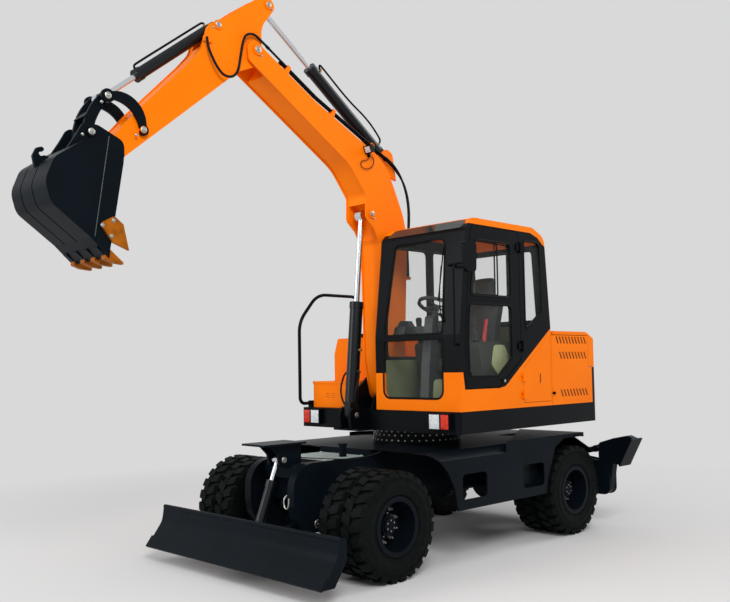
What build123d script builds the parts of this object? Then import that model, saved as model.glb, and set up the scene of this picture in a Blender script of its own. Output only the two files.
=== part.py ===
from build123d import *
from math import asin, degrees, hypot, pi, radians, sin, tan
import os

# Wheeled excavator with a front blade and rear outriggers.
# Millimetres. The origin is on the ground under the slew axis, X forward, Y to the left, Z up.
os.makedirs("parts", exist_ok=True)

# Clearances shared by the pieces
turning_gap = 0.5
sliding_gap = 0.5
seat_gap = 0.3
side_gap = 8
panel_gap = 6

# Wheels: twin tyres on every hub
tyre_radius = 432.5
tyre_width = 225
twin_gap = 26
width_over_tyres = 2132
front_axle_x = 1404
rear_axle_x = -1154
rim_seat_radius = 222
rim_flange_radius = 236
rim_flange_width = 12
rim_wall = 26
wheel_disc = 28
hub_reach = 150
hub_steps = [(30, 105), (75, 80), (92, 62)]
spindle_radius = 45
tyre_inner_face = width_over_tyres / 2 - 2 * tyre_width - twin_gap
wheel_centre_y = tyre_inner_face + tyre_width + twin_gap / 2
lug_count = 24
lug_depth = 21.5
lug_share = 0.62
lug_skew = 14
lug_groove = 8
shoulder_radius = 388
kingpin_y = 480
kingpin_radius = 38

# Undercarriage frame
frame_half_width = 315
frame_bottom = 520
frame_top = 900
frame_front = 1500
frame_rear = -1600
platform_half_width = 1033
side_box_inset = 3
side_box_outer = platform_half_width - side_box_inset
side_box_bottom = 450
side_box_shoulder = 885
side_box_top = 955
side_box_rear = [(-690, 450, 0), (-705, 560, 60), (-770, 700, 60), (-860, 885, 0), (-869, 960, 0)]
box_plate = 16
arch_corners = [(985, 955, 0), (900, 925, 60), (760, 795, 120), (676, 650, 120), (634, 450, 0)]
foothold_width = 342
foothold_height = 215
foothold_bottom = 535
foothold_centres = (398, -486)
foothold_corner = 42
fender_thickness = 30
cheek_inner = 245
cheek_outer = 325
cheek_front = 1850
cheek_bottom = 330
cheek_top_radius = 210
blade_bracket_half = 150
blade_bracket_top = 1060
blade_bracket_front = 2010

# Slew ring
ring_radius = 426
ring_bottom = side_box_top
ring_split = 1010
ring_top = 1089

# Front blade
blade_pivot = (1600, 400)
blade_half_width = 1164
blade_pivot_radius = 38
blade_plate = 34
blade_arm_inner = 165
blade_arm_outer = 235
blade_ram_eye = (1745, 915)
blade_ram_foot = (2015, 235)

# Rear outriggers
outrigger_x = -1760
outrigger_leg_width = 90
outrigger_plate = 15
outrigger_pivot = (1050, 400)
outrigger_pin = (1050, 812)
outrigger_ram_base = (330, 640)
outrigger_end_radius = 75

# Upper structure
platform_bottom = ring_top
platform_top = 1280
platform_front = 600
hood_rear = -1560
counterweight_rear = -1730
counterweight_top = 1640
bonnet_split = -1489
hood_top = 2000
panel_thickness = 25
boom_centre_y = -190
bracket_plate = 25

# Hinges of the bonnet and doors
hinge_radius = 15
hinge_pin_radius = 8
bonnet_axis = (-846, 1986)
bonnet_hinges = (-520, 520)
bonnet_knuckle = 80
door_hinge_out = 16
door_axis = (-338, platform_half_width + door_hinge_out)
door_hinges = (1850, 2773)
door_knuckle = 60
access_axis = door_axis
access_hinges = (1400, 1560)

# Cab
cab_right = 14
cab_left = platform_half_width
cab_front = 572
cab_rear = -822
cab_top = 2985
cab_wall = 40
cab_roof_thickness = 55
roof_eyes = (120, -480)
roof_eye_y = cab_left - 133
roof_eye_hole = 12
front_post_top = 1620
glass_thickness = 6
sill_height = 1470

# Boom, arm and bucket, in the plane of the boom
boom_width = 280
boom_foot = (215, 1455)
boom_foot_radius = 95
boom_ram_foot = (715, 1230)
boom_ram_eye = (533, 3144)
arm_pin = (1883, 4410)
arm_width = 220
arm_ram_base = (225, 3765)
arm_ram_eye = (1739, 4855)
bucket_ram_base = (2269, 4533)
guide_pin = (2976, 3514)
link_pin = (3270, 3719)
bucket_pin = (3210, 3320)
bucket_link_pin = (3405, 3420)
bucket_left = 95
bucket_right = -475
bucket_plate = 18
pin_radius = 35
small_pin_radius = 28
arm_end_radius = 92
tip_plate = 25
side_plate = 14
plate_lip = 12
arm_plate_lip = 9


# A face normal to an axis, from corners written (across, up, corner radius)
def outline(corners, axis, level):
    places = {
        "x": lambda a, b: Vector(level, a, b),
        "y": lambda a, b: Vector(a, level, b),
        "z": lambda a, b: Vector(a, b, level),
    }
    place = places[axis]
    starts, middles, ends = [], [], []
    count = len(corners)
    for i, (a, b, radius) in enumerate(corners):
        here = Vector(a, b)
        back = (Vector(*corners[i - 1][:2]) - here).normalized()
        onward = (Vector(*corners[(i + 1) % count][:2]) - here).normalized()
        if radius == 0:
            starts.append(here)
            middles.append(None)
            ends.append(here)
            continue
        half_turn = radians(back.get_angle(onward)) / 2
        reach = radius / tan(half_turn)
        inward = (back + onward).normalized()
        starts.append(here + back * reach)
        middles.append(here + inward * (radius / sin(half_turn) - radius))
        ends.append(here + onward * reach)
    edges = []
    for i in range(count):
        if middles[i] is not None:
            three = [place(p.X, p.Y) for p in (starts[i], middles[i], ends[i])]
            edges.append(Edge.make_three_point_arc(*three))
        onward_start = starts[(i + 1) % count]
        if (onward_start - ends[i]).length > 0.01:
            line = [place(p.X, p.Y) for p in (ends[i], onward_start)]
            edges.append(Edge.make_line(*line))
    return Face(Wire(edges))


# A plate square to an axis, between two levels
def slab(corners, axis, low, high):
    ways = {"x": Vector(1, 0, 0), "y": Vector(0, 1, 0), "z": Vector(0, 0, 1)}
    corners = [c if len(c) == 3 else (*c, 0) for c in corners]
    return Solid.extrude(outline(corners, axis, low), ways[axis] * (high - low))


def block(x_low, x_high, y_low, y_high, z_low, z_high):
    corners = [(x_low, y_low), (x_high, y_low), (x_high, y_high), (x_low, y_high)]
    return slab(corners, "z", z_low, z_high)


def round_bar(start, end, radius):
    start, end = Vector(*start), Vector(*end)
    run = end - start
    return Solid.make_cylinder(radius, run.length, Plane(origin=start, z_dir=run.normalized()))


# A round bar across the boom plane at a pin
def cross_bar(pin, y_low, y_high, radius):
    return round_bar((pin[0], y_low, pin[1]), (pin[0], y_high, pin[1]), radius)


def mirrored(shape):
    return mirror(shape, Plane.XZ)


def both_sides(shape):
    return [shape, mirrored(shape)]


# The same outline moved inwards by an amount, its corner radii following
def inset(corners, amount):
    count = len(corners)
    area = sum(corners[i - 1][0] * corners[i][1] - corners[i][0] * corners[i - 1][1] for i in range(count))
    turn = 1 if area > 0 else -1
    moved = []
    for i, (a, b, radius) in enumerate(corners):
        arrive = Vector(a - corners[i - 1][0], b - corners[i - 1][1]).normalized()
        ahead = corners[(i + 1) % count]
        leave = Vector(ahead[0] - a, ahead[1] - b).normalized()
        first = Vector(-arrive.Y, arrive.X) * turn
        second = Vector(-leave.Y, leave.X) * turn
        shift = (first + second) * (amount / (1 + first.dot(second)))
        bends_out = arrive.cross(leave).Z * turn > 0
        kept = max(radius + (-amount if bends_out else amount), 0) if radius else 0
        moved.append((a + shift.X, b + shift.Y, kept))
    return moved


def write(name, shape):
    solids = []
    for item in shape if isinstance(shape, list) else [shape]:
        solids += item.solids()
    export_step(solids[0] if len(solids) == 1 else Compound(children=solids), f"parts/{name}.step")


# Tyre and rim profiles are revolved about the axle; (across, radius)
def revolved(corners, angle):
    points = [Vector(0, a, r) for a, r in corners]
    return Solid.revolve(Face(Wire.make_polygon(points, close=True)), angle, Axis.Y)


# One row's lug, cut from a ring by a skewed block, with a corner of its top right at the bottom
def lug():
    half = tyre_width / 2
    ring = [(lug_groove, tyre_radius - lug_depth - 11), (lug_groove, tyre_radius), (half - 18, tyre_radius),
            (half - 3.5, shoulder_radius - 4), (half - 30, shoulder_radius - 4)]
    pitch = 360 / lug_count
    band = Rot(0, -pitch, 0) * revolved(ring, 2 * pitch)
    width = lug_share * 2 * pi * tyre_radius / lug_count
    middle = (lug_groove + half) / 2
    cutter = Rot(0, 0, lug_skew) * Box(width, 2 * half, 2 * (tyre_radius - shoulder_radius) + 20)
    piece = band & (Pos(0, middle, tyre_radius) * cutter)
    inner = [v for v in piece.vertices() if abs(v.Y - lug_groove) < 0.01]
    edge = max(v.X for v in inner if hypot(v.X, v.Z) > tyre_radius - 0.01)
    return Rot(0, 180 - degrees(asin(edge / tyre_radius)), 0) * piece


def tyre():
    half = tyre_width / 2
    bead = half - 24
    profile = [
        (-bead, rim_seat_radius + seat_gap),
        (-bead, rim_flange_radius + 3),
        (-half + 8, rim_flange_radius + 12),
        (-half, 320),
        (-half + 6, shoulder_radius),
        (-half + 22, tyre_radius - lug_depth),
    ]
    body = revolved(profile + [(-a, r) for a, r in reversed(profile)], 360)
    pitch = 360 / lug_count
    row = lug()
    other_row = Rot(0, pitch / 2, 0) * mirrored(row)
    lugs = [Rot(0, i * pitch, 0) * piece for i in range(lug_count) for piece in (row, other_row)]
    return body + lugs


def rim_pair(side):
    solids = None
    inner_face = wheel_centre_y - twin_gap / 2 - tyre_width
    for centre in (inner_face + tyre_width / 2, inner_face + 1.5 * tyre_width + twin_gap):
        half = tyre_width / 2 - 12
        low, high = centre - half, centre + half
        tube = round_bar((0, low, 0), (0, high, 0), rim_seat_radius)
        for flange in (low, high - rim_flange_width):
            tube += round_bar((0, flange, 0), (0, flange + rim_flange_width, 0), rim_flange_radius - seat_gap)
        tube -= round_bar((0, low - 1, 0), (0, high + 1, 0), rim_seat_radius - rim_wall)
        solids = tube if solids is None else solids + tube
    disc_half = twin_gap / 2 + 12 + wheel_disc
    disc = round_bar((0, wheel_centre_y - disc_half, 0), (0, wheel_centre_y + disc_half, 0),
                     rim_seat_radius - rim_wall + 4)
    hub = round_bar((0, wheel_centre_y - hub_reach, 0), (0, wheel_centre_y, 0), hub_steps[0][1])
    for reach, radius in hub_steps:
        hub += round_bar((0, wheel_centre_y, 0), (0, wheel_centre_y + disc_half + reach, 0), radius)
    bore = round_bar((0, wheel_centre_y - hub_reach - 1, 0),
                     (0, wheel_centre_y + disc_half, 0), spindle_radius + turning_gap)
    body = solids + disc + hub - bore
    return body if side > 0 else mirrored(body)


def wheels():
    one_tyre = tyre()
    axles = {"front": front_axle_x, "rear": rear_axle_x}
    sides = {"left": 1, "right": -1}
    for axle, x in axles.items():
        for side, sign in sides.items():
            place = Pos(x, 0, tyre_radius)
            centres = [sign * (wheel_centre_y + s * (tyre_width + twin_gap) / 2) for s in (-1, 1)]
            write(f"tyres_{axle}_{side}", [place * Pos(0, c, 0) * one_tyre for c in centres])
            write(f"rims_{axle}_{side}", place * rim_pair(sign))


# Axles, kingpins and the shaft between them
axle_radius = 82
axle_end_y = 560
diff_radius = 165
spindle_end = wheel_centre_y + 30
axle_pad_top = 612
yoke_height = 125
yoke_plate = 34
knuckle_radius = 62


def axle_beam(x, reach):
    height = tyre_radius
    beam = round_bar((x, -reach, height), (x, reach, height), axle_radius)
    beam += round_bar((x - 110, 0, height), (x + 110, 0, height), diff_radius)
    for sign in (1, -1):
        y = sign * 235
        beam += block(x - 70, x + 70, y - 45, y + 45, height, axle_pad_top - seat_gap)
    return beam


def front_axle():
    beam = axle_beam(front_axle_x, kingpin_y - 75)
    for sign in (1, -1):
        y = sign * kingpin_y
        for level in (-1, 1):
            z = tyre_radius + level * (yoke_height - yoke_plate / 2)
            low, high = z - yoke_plate / 2, z + yoke_plate / 2
            beam += round_bar((front_axle_x, y, low), (front_axle_x, y, high), 60)
            beam += block(front_axle_x - 60, front_axle_x + 60, min(y, y - sign * 95),
                          max(y, y - sign * 95), low, high)
        web_y = y - sign * 95
        beam += block(front_axle_x - 60, front_axle_x + 60, web_y - 14, web_y + 14,
                      tyre_radius - yoke_height, tyre_radius + yoke_height)
        beam += round_bar((front_axle_x, y, tyre_radius - yoke_height),
                          (front_axle_x, y, tyre_radius + yoke_height), kingpin_radius)
    write("front_axle", beam)


def knuckle(side):
    half = yoke_height - yoke_plate - side_gap / 2
    barrel = round_bar((front_axle_x, kingpin_y, tyre_radius - half),
                       (front_axle_x, kingpin_y, tyre_radius + half), knuckle_radius)
    barrel += round_bar((front_axle_x, kingpin_y, tyre_radius),
                        (front_axle_x, spindle_end, tyre_radius), spindle_radius)
    barrel += block(front_axle_x - 175, front_axle_x, kingpin_y - 5, kingpin_y + 35,
                    tyre_radius - half, tyre_radius - half + 30)
    barrel -= round_bar((front_axle_x, kingpin_y, tyre_radius - half - 1),
                        (front_axle_x, kingpin_y, tyre_radius + half + 1), kingpin_radius + turning_gap)
    return barrel if side > 0 else mirrored(barrel)


def rear_axle():
    beam = axle_beam(rear_axle_x, axle_end_y)
    for sign in (1, -1):
        beam += round_bar((rear_axle_x, sign * axle_end_y, tyre_radius),
                          (rear_axle_x, sign * spindle_end, tyre_radius), spindle_radius)
    shaft_start = rear_axle_x + 110
    beam += round_bar((shaft_start - 5, 0, tyre_radius), (front_axle_x - 110 - seat_gap, 0, tyre_radius), 38)
    beam += block(-260, 140, -150, 150, 385, frame_bottom - seat_gap)
    write("rear_axle_and_shaft", beam)


# Main frame: centre box, side boxes with footholds, fenders, blade cheeks and ram bracket
def side_box():
    skin_corners = [(side_box_outer, side_box_bottom), (side_box_outer, side_box_shoulder),
                    (side_box_outer - 85, side_box_top), (frame_half_width - 5, side_box_top)]
    thick = box_plate
    inner = [(side_box_outer - thick, side_box_bottom), (side_box_outer - thick, side_box_shoulder - 8),
             (side_box_outer - 92, side_box_top - thick), (frame_half_width - 5, side_box_top - thick)]
    rear_end = side_box_rear[-1][0] - 5
    skin = slab(skin_corners + inner[::-1], "x", rear_end, arch_corners[0][0] + 20)
    first_x, last_x = side_box_rear[0][0], arch_corners[-1][0]
    keep = slab([(first_x, side_box_bottom - 5)] + side_box_rear
                + [(a, b + (5 if i == 0 else 0), r) for i, (a, b, r) in enumerate(arch_corners)]
                + [(last_x, side_box_bottom - 5)], "y", 0, side_box_outer + 5)
    skin = skin & keep
    arch_back = [(a - thick, b - (thick if i < 2 else 4), r) for i, (a, b, r) in enumerate(arch_corners)]
    arch_back[-1] = (arch_corners[-1][0] - thick, side_box_bottom, 0)
    wall = slab(arch_corners + arch_back[::-1], "y", frame_half_width - 5, side_box_outer)
    rear_inner = [(a + thick, b, r) for a, b, r in side_box_rear]
    wall += slab(side_box_rear + rear_inner[::-1], "y", frame_half_width - 5, side_box_outer)
    wall = wall & slab(skin_corners + [(frame_half_width - 5, side_box_bottom)], "x",
                       rear_end, arch_corners[0][0] + 20)
    body = skin + wall
    for centre in foothold_centres:
        half = foothold_width / 2
        top = foothold_bottom + foothold_height
        hole = [(centre - half, foothold_bottom, foothold_corner), (centre + half, foothold_bottom, foothold_corner),
                (centre + half, top, foothold_corner), (centre - half, top, foothold_corner)]
        body -= slab(hole, "y", side_box_outer - 60, side_box_outer + 5)
    store_front = foothold_centres[1] + foothold_width / 2 + 25
    body += block(side_box_rear[0][0] + thick, store_front, side_box_outer - 330, side_box_outer - 90,
                  side_box_bottom + 20, side_box_top - thick)
    return body


def rear_fender():
    top = side_box_top + fender_thickness
    plate = slab([(-1370, 250), (-1370, side_box_outer), (-60, side_box_outer - 2),
                  (-200, side_box_outer - 60)], "z", side_box_top - 8, top)
    skirt = slab([(-60, side_box_shoulder), (-60, side_box_top - 5), (-252, top), (-1370, top), (-1370, top - 45),
                  (-1284, top - 34), (-1028, top - 30), (-880, side_box_shoulder)], "y",
                 side_box_outer - box_plate, side_box_outer)
    guard = [(-1180, side_box_top + 5), (-1187, side_box_top - 6), (-1556, 770), (-1561, 784)]
    return plate + skirt + slab(guard, "y", 540, side_box_outer)


def frame():
    centre = [(frame_rear, 600, 30), (frame_rear, 900, 0), (frame_front, frame_top, 0),
              (frame_front + 110, 760, 0), (frame_front + 110, 560, 0), (frame_front, frame_bottom, 0),
              (-1500, frame_bottom, 40)]
    body = slab(centre, "y", -frame_half_width, frame_half_width)
    for x in (front_axle_x, rear_axle_x):
        body -= block(x - 190, x + 190, -frame_half_width - 5, frame_half_width + 5, 400, axle_pad_top)
    body += slab([(-1560, 890), (-1560, side_box_top), (985, side_box_top), (985, 890)], "y",
                 -frame_half_width, frame_half_width)
    for piece in both_sides(side_box()) + both_sides(rear_fender()):
        body += piece
    cheek = [(1420, axle_pad_top + 4, 0), (1500, axle_pad_top + 4, 10), (1530, 575, 20), (1530, cheek_bottom, 50),
             (cheek_front - 130, cheek_bottom, 60), (cheek_front - 20, cheek_bottom + 130, 90),
             (cheek_front, 560, 60), (cheek_front, frame_top, cheek_top_radius), (1420, frame_top, 0)]
    for piece in both_sides(slab(cheek, "y", cheek_inner, cheek_outer)):
        body += piece
    body += slab([(1480, 760), (1480, 880), (1700, 880), (1700, 760)], "y", -cheek_inner - 5, cheek_inner + 5)
    half = blade_bracket_half
    bracket = [(1560, 870, 0), (1560, blade_bracket_top, 0), (blade_bracket_front, blade_bracket_top, 0),
               (blade_bracket_front, blade_bracket_top - 16, 0), (1900, blade_bracket_top - 16, 0),
               (1810, 960, 20), (1790, 860, 30), (1700, 850, 20)]
    ram_cheek = slab(bracket, "y", 55, 80)
    for piece in both_sides(ram_cheek):
        body += piece
    body += block(1560, blade_bracket_front, -half, half, blade_bracket_top - 16, blade_bracket_top)
    for sign in (1, -1):
        low, high = sorted((sign * (blade_arm_inner - 12), sign * (cheek_inner + 5)))
        body += cross_bar(blade_pivot, low, high, blade_pivot_radius)
    body += round_bar((0, 0, ring_bottom - 5), (0, 0, ring_split), ring_radius)
    for piece in both_sides(slab([(-70, 955), (985, 955), (985, 900), (-70, 900)], "y", 300, 330)):
        body += piece
    write("frame", body)


# Blade: curved mouldboard, cutting edge, arms and ram lug
def blade():
    thick = blade_plate
    board = slab([(2302, 127, 0), (2222, 235, 160), (2150, 330, 160), (2132, 455, 0),
                  (2132 - thick, 455, 0), (2150 - thick, 325, 160), (2180, 230, 120), (2240, 127, 0)],
                 "y", -blade_half_width, blade_half_width)
    board += round_bar((2118, -blade_half_width, 452), (2118, blade_half_width, 452), 20)
    edge = [(2306, 120), (2320, 131), (2256, 216), (2240, 208)]
    board += slab(edge, "y", -blade_half_width, blade_half_width)
    end = [(2302, 127, 0), (2222, 235, 160), (2150, 330, 160), (2132, 462, 0), (2060, 462, 20),
           (2060, 300, 40), (2180, 127, 20)]
    for sign in (1, -1):
        y = sign * (blade_half_width - 8)
        board += slab(end, "y", y - 8, y + 8)
    arm = [(1600 - 62, 400 - 62, 60), (2070, 180, 20), (2190, 150, 0), (2190, 280, 0), (2080, 330, 30),
           (1600 - 62, 400 + 62, 60)]
    for sign in (1, -1):
        low, high = sorted((sign * blade_arm_inner, sign * blade_arm_outer))
        board += slab(arm, "y", low, high)
    board += block(2030, 2130, -blade_arm_inner, blade_arm_inner, 190, 250)
    lug = [(blade_ram_foot[0] - 50, blade_ram_foot[1] - 45, 40), (2150, 180, 0), (2150, 300, 0),
           (blade_ram_foot[0] + 30, blade_ram_foot[1] + 60, 30), (blade_ram_foot[0] - 50, blade_ram_foot[1] + 50, 40)]
    board -= block(1960, 2085, -48, 48, 150, 330)
    for sign in (1, -1):
        low, high = sorted((sign * 48, sign * 70))
        board += slab(lug, "y", low, high)
    bore = cross_bar(blade_pivot, -cheek_outer, cheek_outer, blade_pivot_radius + turning_gap)
    board += cross_bar(blade_ram_foot, -50, 50, 22)
    write("blade", board - bore)


# Rams: a barrel with its base eye, neck and gland, and a rod with its eye
def barrel(base, eye, length, radius, rod_radius, neck, eye_width, eye_radius, pin):
    way = Vector(eye[0] - base[0], 0, eye[1] - base[1]).normalized()
    up = Vector(-way.Z, 0, way.X)
    start = Vector(base[0], 0, base[1])
    shell = Solid.make_cylinder(radius, length - neck, Plane(origin=start + way * neck, z_dir=way))
    gland = Solid.make_cylinder(radius + 6, 60, Plane(origin=start + way * (length - 60), z_dir=way))
    base_eye = cross_bar(base, -eye_width / 2, eye_width / 2, eye_radius)
    reach = way * (neck + 5)
    corners = [start + up * eye_radius, start + reach + up * eye_radius, start + reach - up * eye_radius,
               start - up * eye_radius]
    stem = slab([(c.X, c.Z) for c in corners], "y", -eye_width / 2, eye_width / 2)
    bore_start = start + way * (neck + 12)
    bore = Solid.make_cylinder(rod_radius + sliding_gap, length, Plane(origin=bore_start, z_dir=way))
    hole = cross_bar(base, -eye_width, eye_width, pin + turning_gap)
    return shell + gland + base_eye + stem - bore - hole


def rod(base, eye, length, rod_radius, eye_width, eye_radius):
    back = Vector(base[0] - eye[0], 0, base[1] - eye[1]).normalized()
    tip = Vector(eye[0], 0, eye[1])
    bar = Solid.make_cylinder(rod_radius, length, Plane(origin=tip, z_dir=back))
    end = round_bar((eye[0], -eye_width / 2, eye[1]), (eye[0], eye_width / 2, eye[1]), eye_radius)
    return bar + end


ram_table = [
    # name, base pin, rod eye, barrel length, barrel radius, rod radius, neck, base eye width and radius,
    # base pin radius, rod length, rod eye width and radius
    ("boom_ram", boom_ram_foot, boom_ram_eye, 1075, 62, 27, 118, 84, 52, 30, 1050, 80, 52),
    ("arm_ram", arm_ram_base, arm_ram_eye, 1180, 55, 25, 95, 74, 48, 28, 1150, 70, 48),
    ("bucket_ram", bucket_ram_base, link_pin, 900, 47, 22, 46, 100, 42, 26, 800, 70, 42),
]


def attachment_rams():
    shift = Pos(0, boom_centre_y, 0)
    for row in ram_table:
        name, base, eye, length, radius, rod_radius, neck, width, eye_radius, pin, rod_length, rod_eye, rod_end = row
        tube = barrel(base, eye, length, radius, rod_radius, neck, width, eye_radius, pin)
        write(f"{name}_barrel", shift * tube)
        write(f"{name}_rod", shift * rod(base, eye, rod_length, rod_radius, rod_eye, rod_end))


def blade_rams():
    foot, eye = blade_ram_foot, blade_ram_eye
    write("blade_ram_barrel", barrel(foot, eye, 548, 41, 24, 40, 80, 38, 22))
    write("blade_ram_rod", rod(foot, eye, 480, 24, 76, 38))


# Outriggers: a cross channel of two plates, and a leg that folds up with its foot
def outrigger_channel():
    x_inner = outrigger_leg_width / 2 + side_gap
    y, z = outrigger_pivot
    r = outrigger_end_radius
    plate = [(y + r, z - r, r - 1), (y + r, 655, 30), (y - 240, 700, 40), (-y + 240, 700, 40),
             (-y - r, 655, 30), (-y - r, z - r, r - 1)]
    body = None
    for sign in (1, -1):
        low, high = sorted((sign * x_inner, sign * (x_inner + outrigger_plate)))
        piece = slab(plate, "x", outrigger_x + low, outrigger_x + high)
        body = piece if body is None else body + piece
    body += slab([(-780, 325), (780, 325), (780, 350), (-780, 350)], "x", outrigger_x - x_inner - 5,
                 outrigger_x + x_inner + 5)
    for sign in (1, -1):
        body += round_bar((outrigger_x - x_inner - 5, sign * y, z), (outrigger_x + x_inner + 5, sign * y, z), 30)
        base_y, base_z = outrigger_ram_base
        body += round_bar((outrigger_x - x_inner - 5, sign * base_y, base_z),
                          (outrigger_x + x_inner + 5, sign * base_y, base_z), 22)
    body += block(outrigger_x + x_inner + 5, frame_rear - seat_gap, -300, 300, 560, 690)
    write("outrigger_channel", body)


def outrigger_leg():
    y, z = outrigger_pivot
    pin_y, pin_z = outrigger_pin
    half = outrigger_leg_width / 2
    shape = [(y - 62, z - 62, 60), (y + 62, z - 62, 60), (y + 82, 500, 60), (y + 104, 644, 12), (1250, 632, 0),
             (1394, 910, 0), (1322, 938, 12), (1165, 905, 60), (992, 850, 40), (990, 745, 60)]
    leg = slab(shape, "x", outrigger_x - half, outrigger_x + half)
    channel = [(930, 955), (pin_y + 75, 955), (pin_y + 75, 715), (y + 48, 660), (y + 48, 500), (y - 36, 440),
               (y - 36, 300), (930, 300)]
    leg -= slab(channel, "x", outrigger_x - 24, outrigger_x + 24)
    foot = [(1265, 628), (1408, 905), (1394, 912), (1251, 635)]
    leg += slab(foot, "x", outrigger_x - 110, outrigger_x + 110)
    leg -= round_bar((outrigger_x - 60, y, z), (outrigger_x + 60, y, z), 30 + turning_gap)
    return leg


def outrigger_ram():
    base, eye = outrigger_ram_base, outrigger_pin
    run = hypot(eye[0] - base[0], eye[1] - base[1])
    length = run - 75
    flat = barrel(base, eye, length, 30, 16, 40, 70, 32, 22)
    bar = rod(base, eye, 530, 16, 36, 30)
    flip = Location(Plane(origin=(outrigger_x, 0, 0), x_dir=(0, 1, 0), z_dir=(0, 0, 1)))
    return flip * flat, flip * bar


def outriggers():
    outrigger_channel()
    leg = outrigger_leg()
    ram_barrel, ram_rod = outrigger_ram()
    for side, pieces in {"left": (leg, ram_barrel, ram_rod),
                         "right": tuple(mirrored(p) for p in (leg, ram_barrel, ram_rod))}.items():
        for name, piece in zip(("outrigger", "outrigger_ram_barrel", "outrigger_ram_rod"), pieces):
            write(f"{name}_{side}", piece)


# Upper structure: revolving platform with the boom bracket
def platform():
    w = platform_half_width
    base = [(platform_front, -w, 40), (platform_front, w, 40), (hood_rear, w, 0), (hood_rear, -w, 0)]
    body = slab(base, "z", platform_bottom, platform_top)
    body += round_bar((0, 0, ring_split + seat_gap), (0, 0, platform_bottom + 5), ring_radius)
    inner = boom_width / 2 + side_gap
    plate = [(-170, 1270, 0), (-120, 1420, 60), (110, 1575, 60), (320, 1590, 60), (560, 1400, 60),
             (600, 1270, 0)]
    for sign in (1, -1):
        low, high = sorted((sign * inner, sign * (inner + bracket_plate)))
        body += slab(plate, "y", boom_centre_y + low, boom_centre_y + high)
    fx, fz = boom_ram_foot
    front_lug = [(560, platform_bottom, 0), (fx + 70, platform_bottom, 20), (fx + 90, fz, 40), (fx + 60, fz + 85, 60),
                 (fx - 70, fz + 70, 30), (560, 1270, 0)]
    for sign in (1, -1):
        low, high = sorted((sign * 50, sign * 85))
        body += slab(front_lug, "y", boom_centre_y + low, boom_centre_y + high)
    body += block(590, fx + 65, boom_centre_y - 170, boom_centre_y + 170, platform_bottom, platform_bottom + 18)
    body += cross_bar(boom_ram_foot, boom_centre_y - 55, boom_centre_y + 55, 30)
    body += cross_bar(boom_foot, boom_centre_y - inner - 5, boom_centre_y + inner + 5, pin_radius)
    for sign in (1, -1):
        low, high = sorted((sign * (inner + bracket_plate - 2), sign * (inner + bracket_plate + 12)))
        body += cross_bar(boom_foot, boom_centre_y + low, boom_centre_y + high, 55)
    write("platform", body)


def counterweight():
    w = platform_half_width
    back = counterweight_rear
    plan = [(hood_rear - seat_gap, -w, 0), (hood_rear - 60, -w, 60), (back, -w + 170, 380), (back, w - 170, 380),
            (hood_rear - 60, w, 60), (hood_rear - seat_gap, w, 0)]
    write("counterweight", slab(plan, "z", platform_bottom, counterweight_top))


# Rows of slanted louvres in the side panels: front x, top z, count
louvre_rows = [(-905, 1948, 10), (-960, 1797, 9), (-970, 1426, 9)]
louvre_pitch = 56
louvre_width = 24
louvre_height = 70
louvre_lean = 34
louvre_depth = 14


def louvres(y_low, y_high):
    slots = []
    for x, z, count in louvre_rows:
        for i in range(count):
            front = x - i * louvre_pitch
            low_front = front - louvre_lean
            slots.append(slab([(front, z), (front - louvre_width, z), (low_front - louvre_width, z - louvre_height),
                               (low_front, z - louvre_height)], "y", y_low, y_high))
    return slots


def hood():
    w = platform_half_width
    t = panel_thickness
    front = cab_rear - 8
    z0 = platform_top + seat_gap
    rear = [(bonnet_split, hood_top - 40), (bonnet_split, counterweight_top), (hood_rear, counterweight_top),
            (hood_rear, z0)]
    left = slab([(front, z0), (front, hood_top - 40)] + rear, "y", w - t, w)
    right = slab([(-310, z0), (-310, hood_top - 40)] + rear, "y", -w, -w + t)
    bulkhead = block(front - t, front, -w + t, w - t, z0, hood_top - 40)
    cover = block(front - t, -310, -w + t, -boom_width / 2 + boom_centre_y - 45, hood_top - 40 - t, hood_top - 40)
    inner_wall = block(front, -310, -boom_width / 2 + boom_centre_y - 45 - t,
                       -boom_width / 2 + boom_centre_y - 45, z0, hood_top - 40)
    nose = block(-310 - t, -310, -w + t, -boom_width / 2 + boom_centre_y - 45, z0, hood_top - 40)
    left -= louvres(w - louvre_depth, w + 5)
    right -= louvres(-w - 5, -w + louvre_depth)
    body = left + bulkhead + right + cover + inner_wall + nose
    for y in bonnet_hinges:
        pin_low, pin_high = y - bonnet_knuckle / 2 - 20, y + bonnet_knuckle / 2 + 20
        body += cross_bar(bonnet_axis, pin_low, pin_high, hinge_pin_radius)
        for ear_low in (pin_low, pin_high - 19):
            body += cross_bar(bonnet_axis, ear_low, ear_low + 19, hinge_radius)
            body += block(front - t, bonnet_axis[0] + hinge_radius, ear_low, ear_low + 19,
                          hood_top - 45, bonnet_axis[1])
    write("hood_sides", body)
    write("engine", block(-1480, -960, -420, 420, platform_top, 1860))


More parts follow.
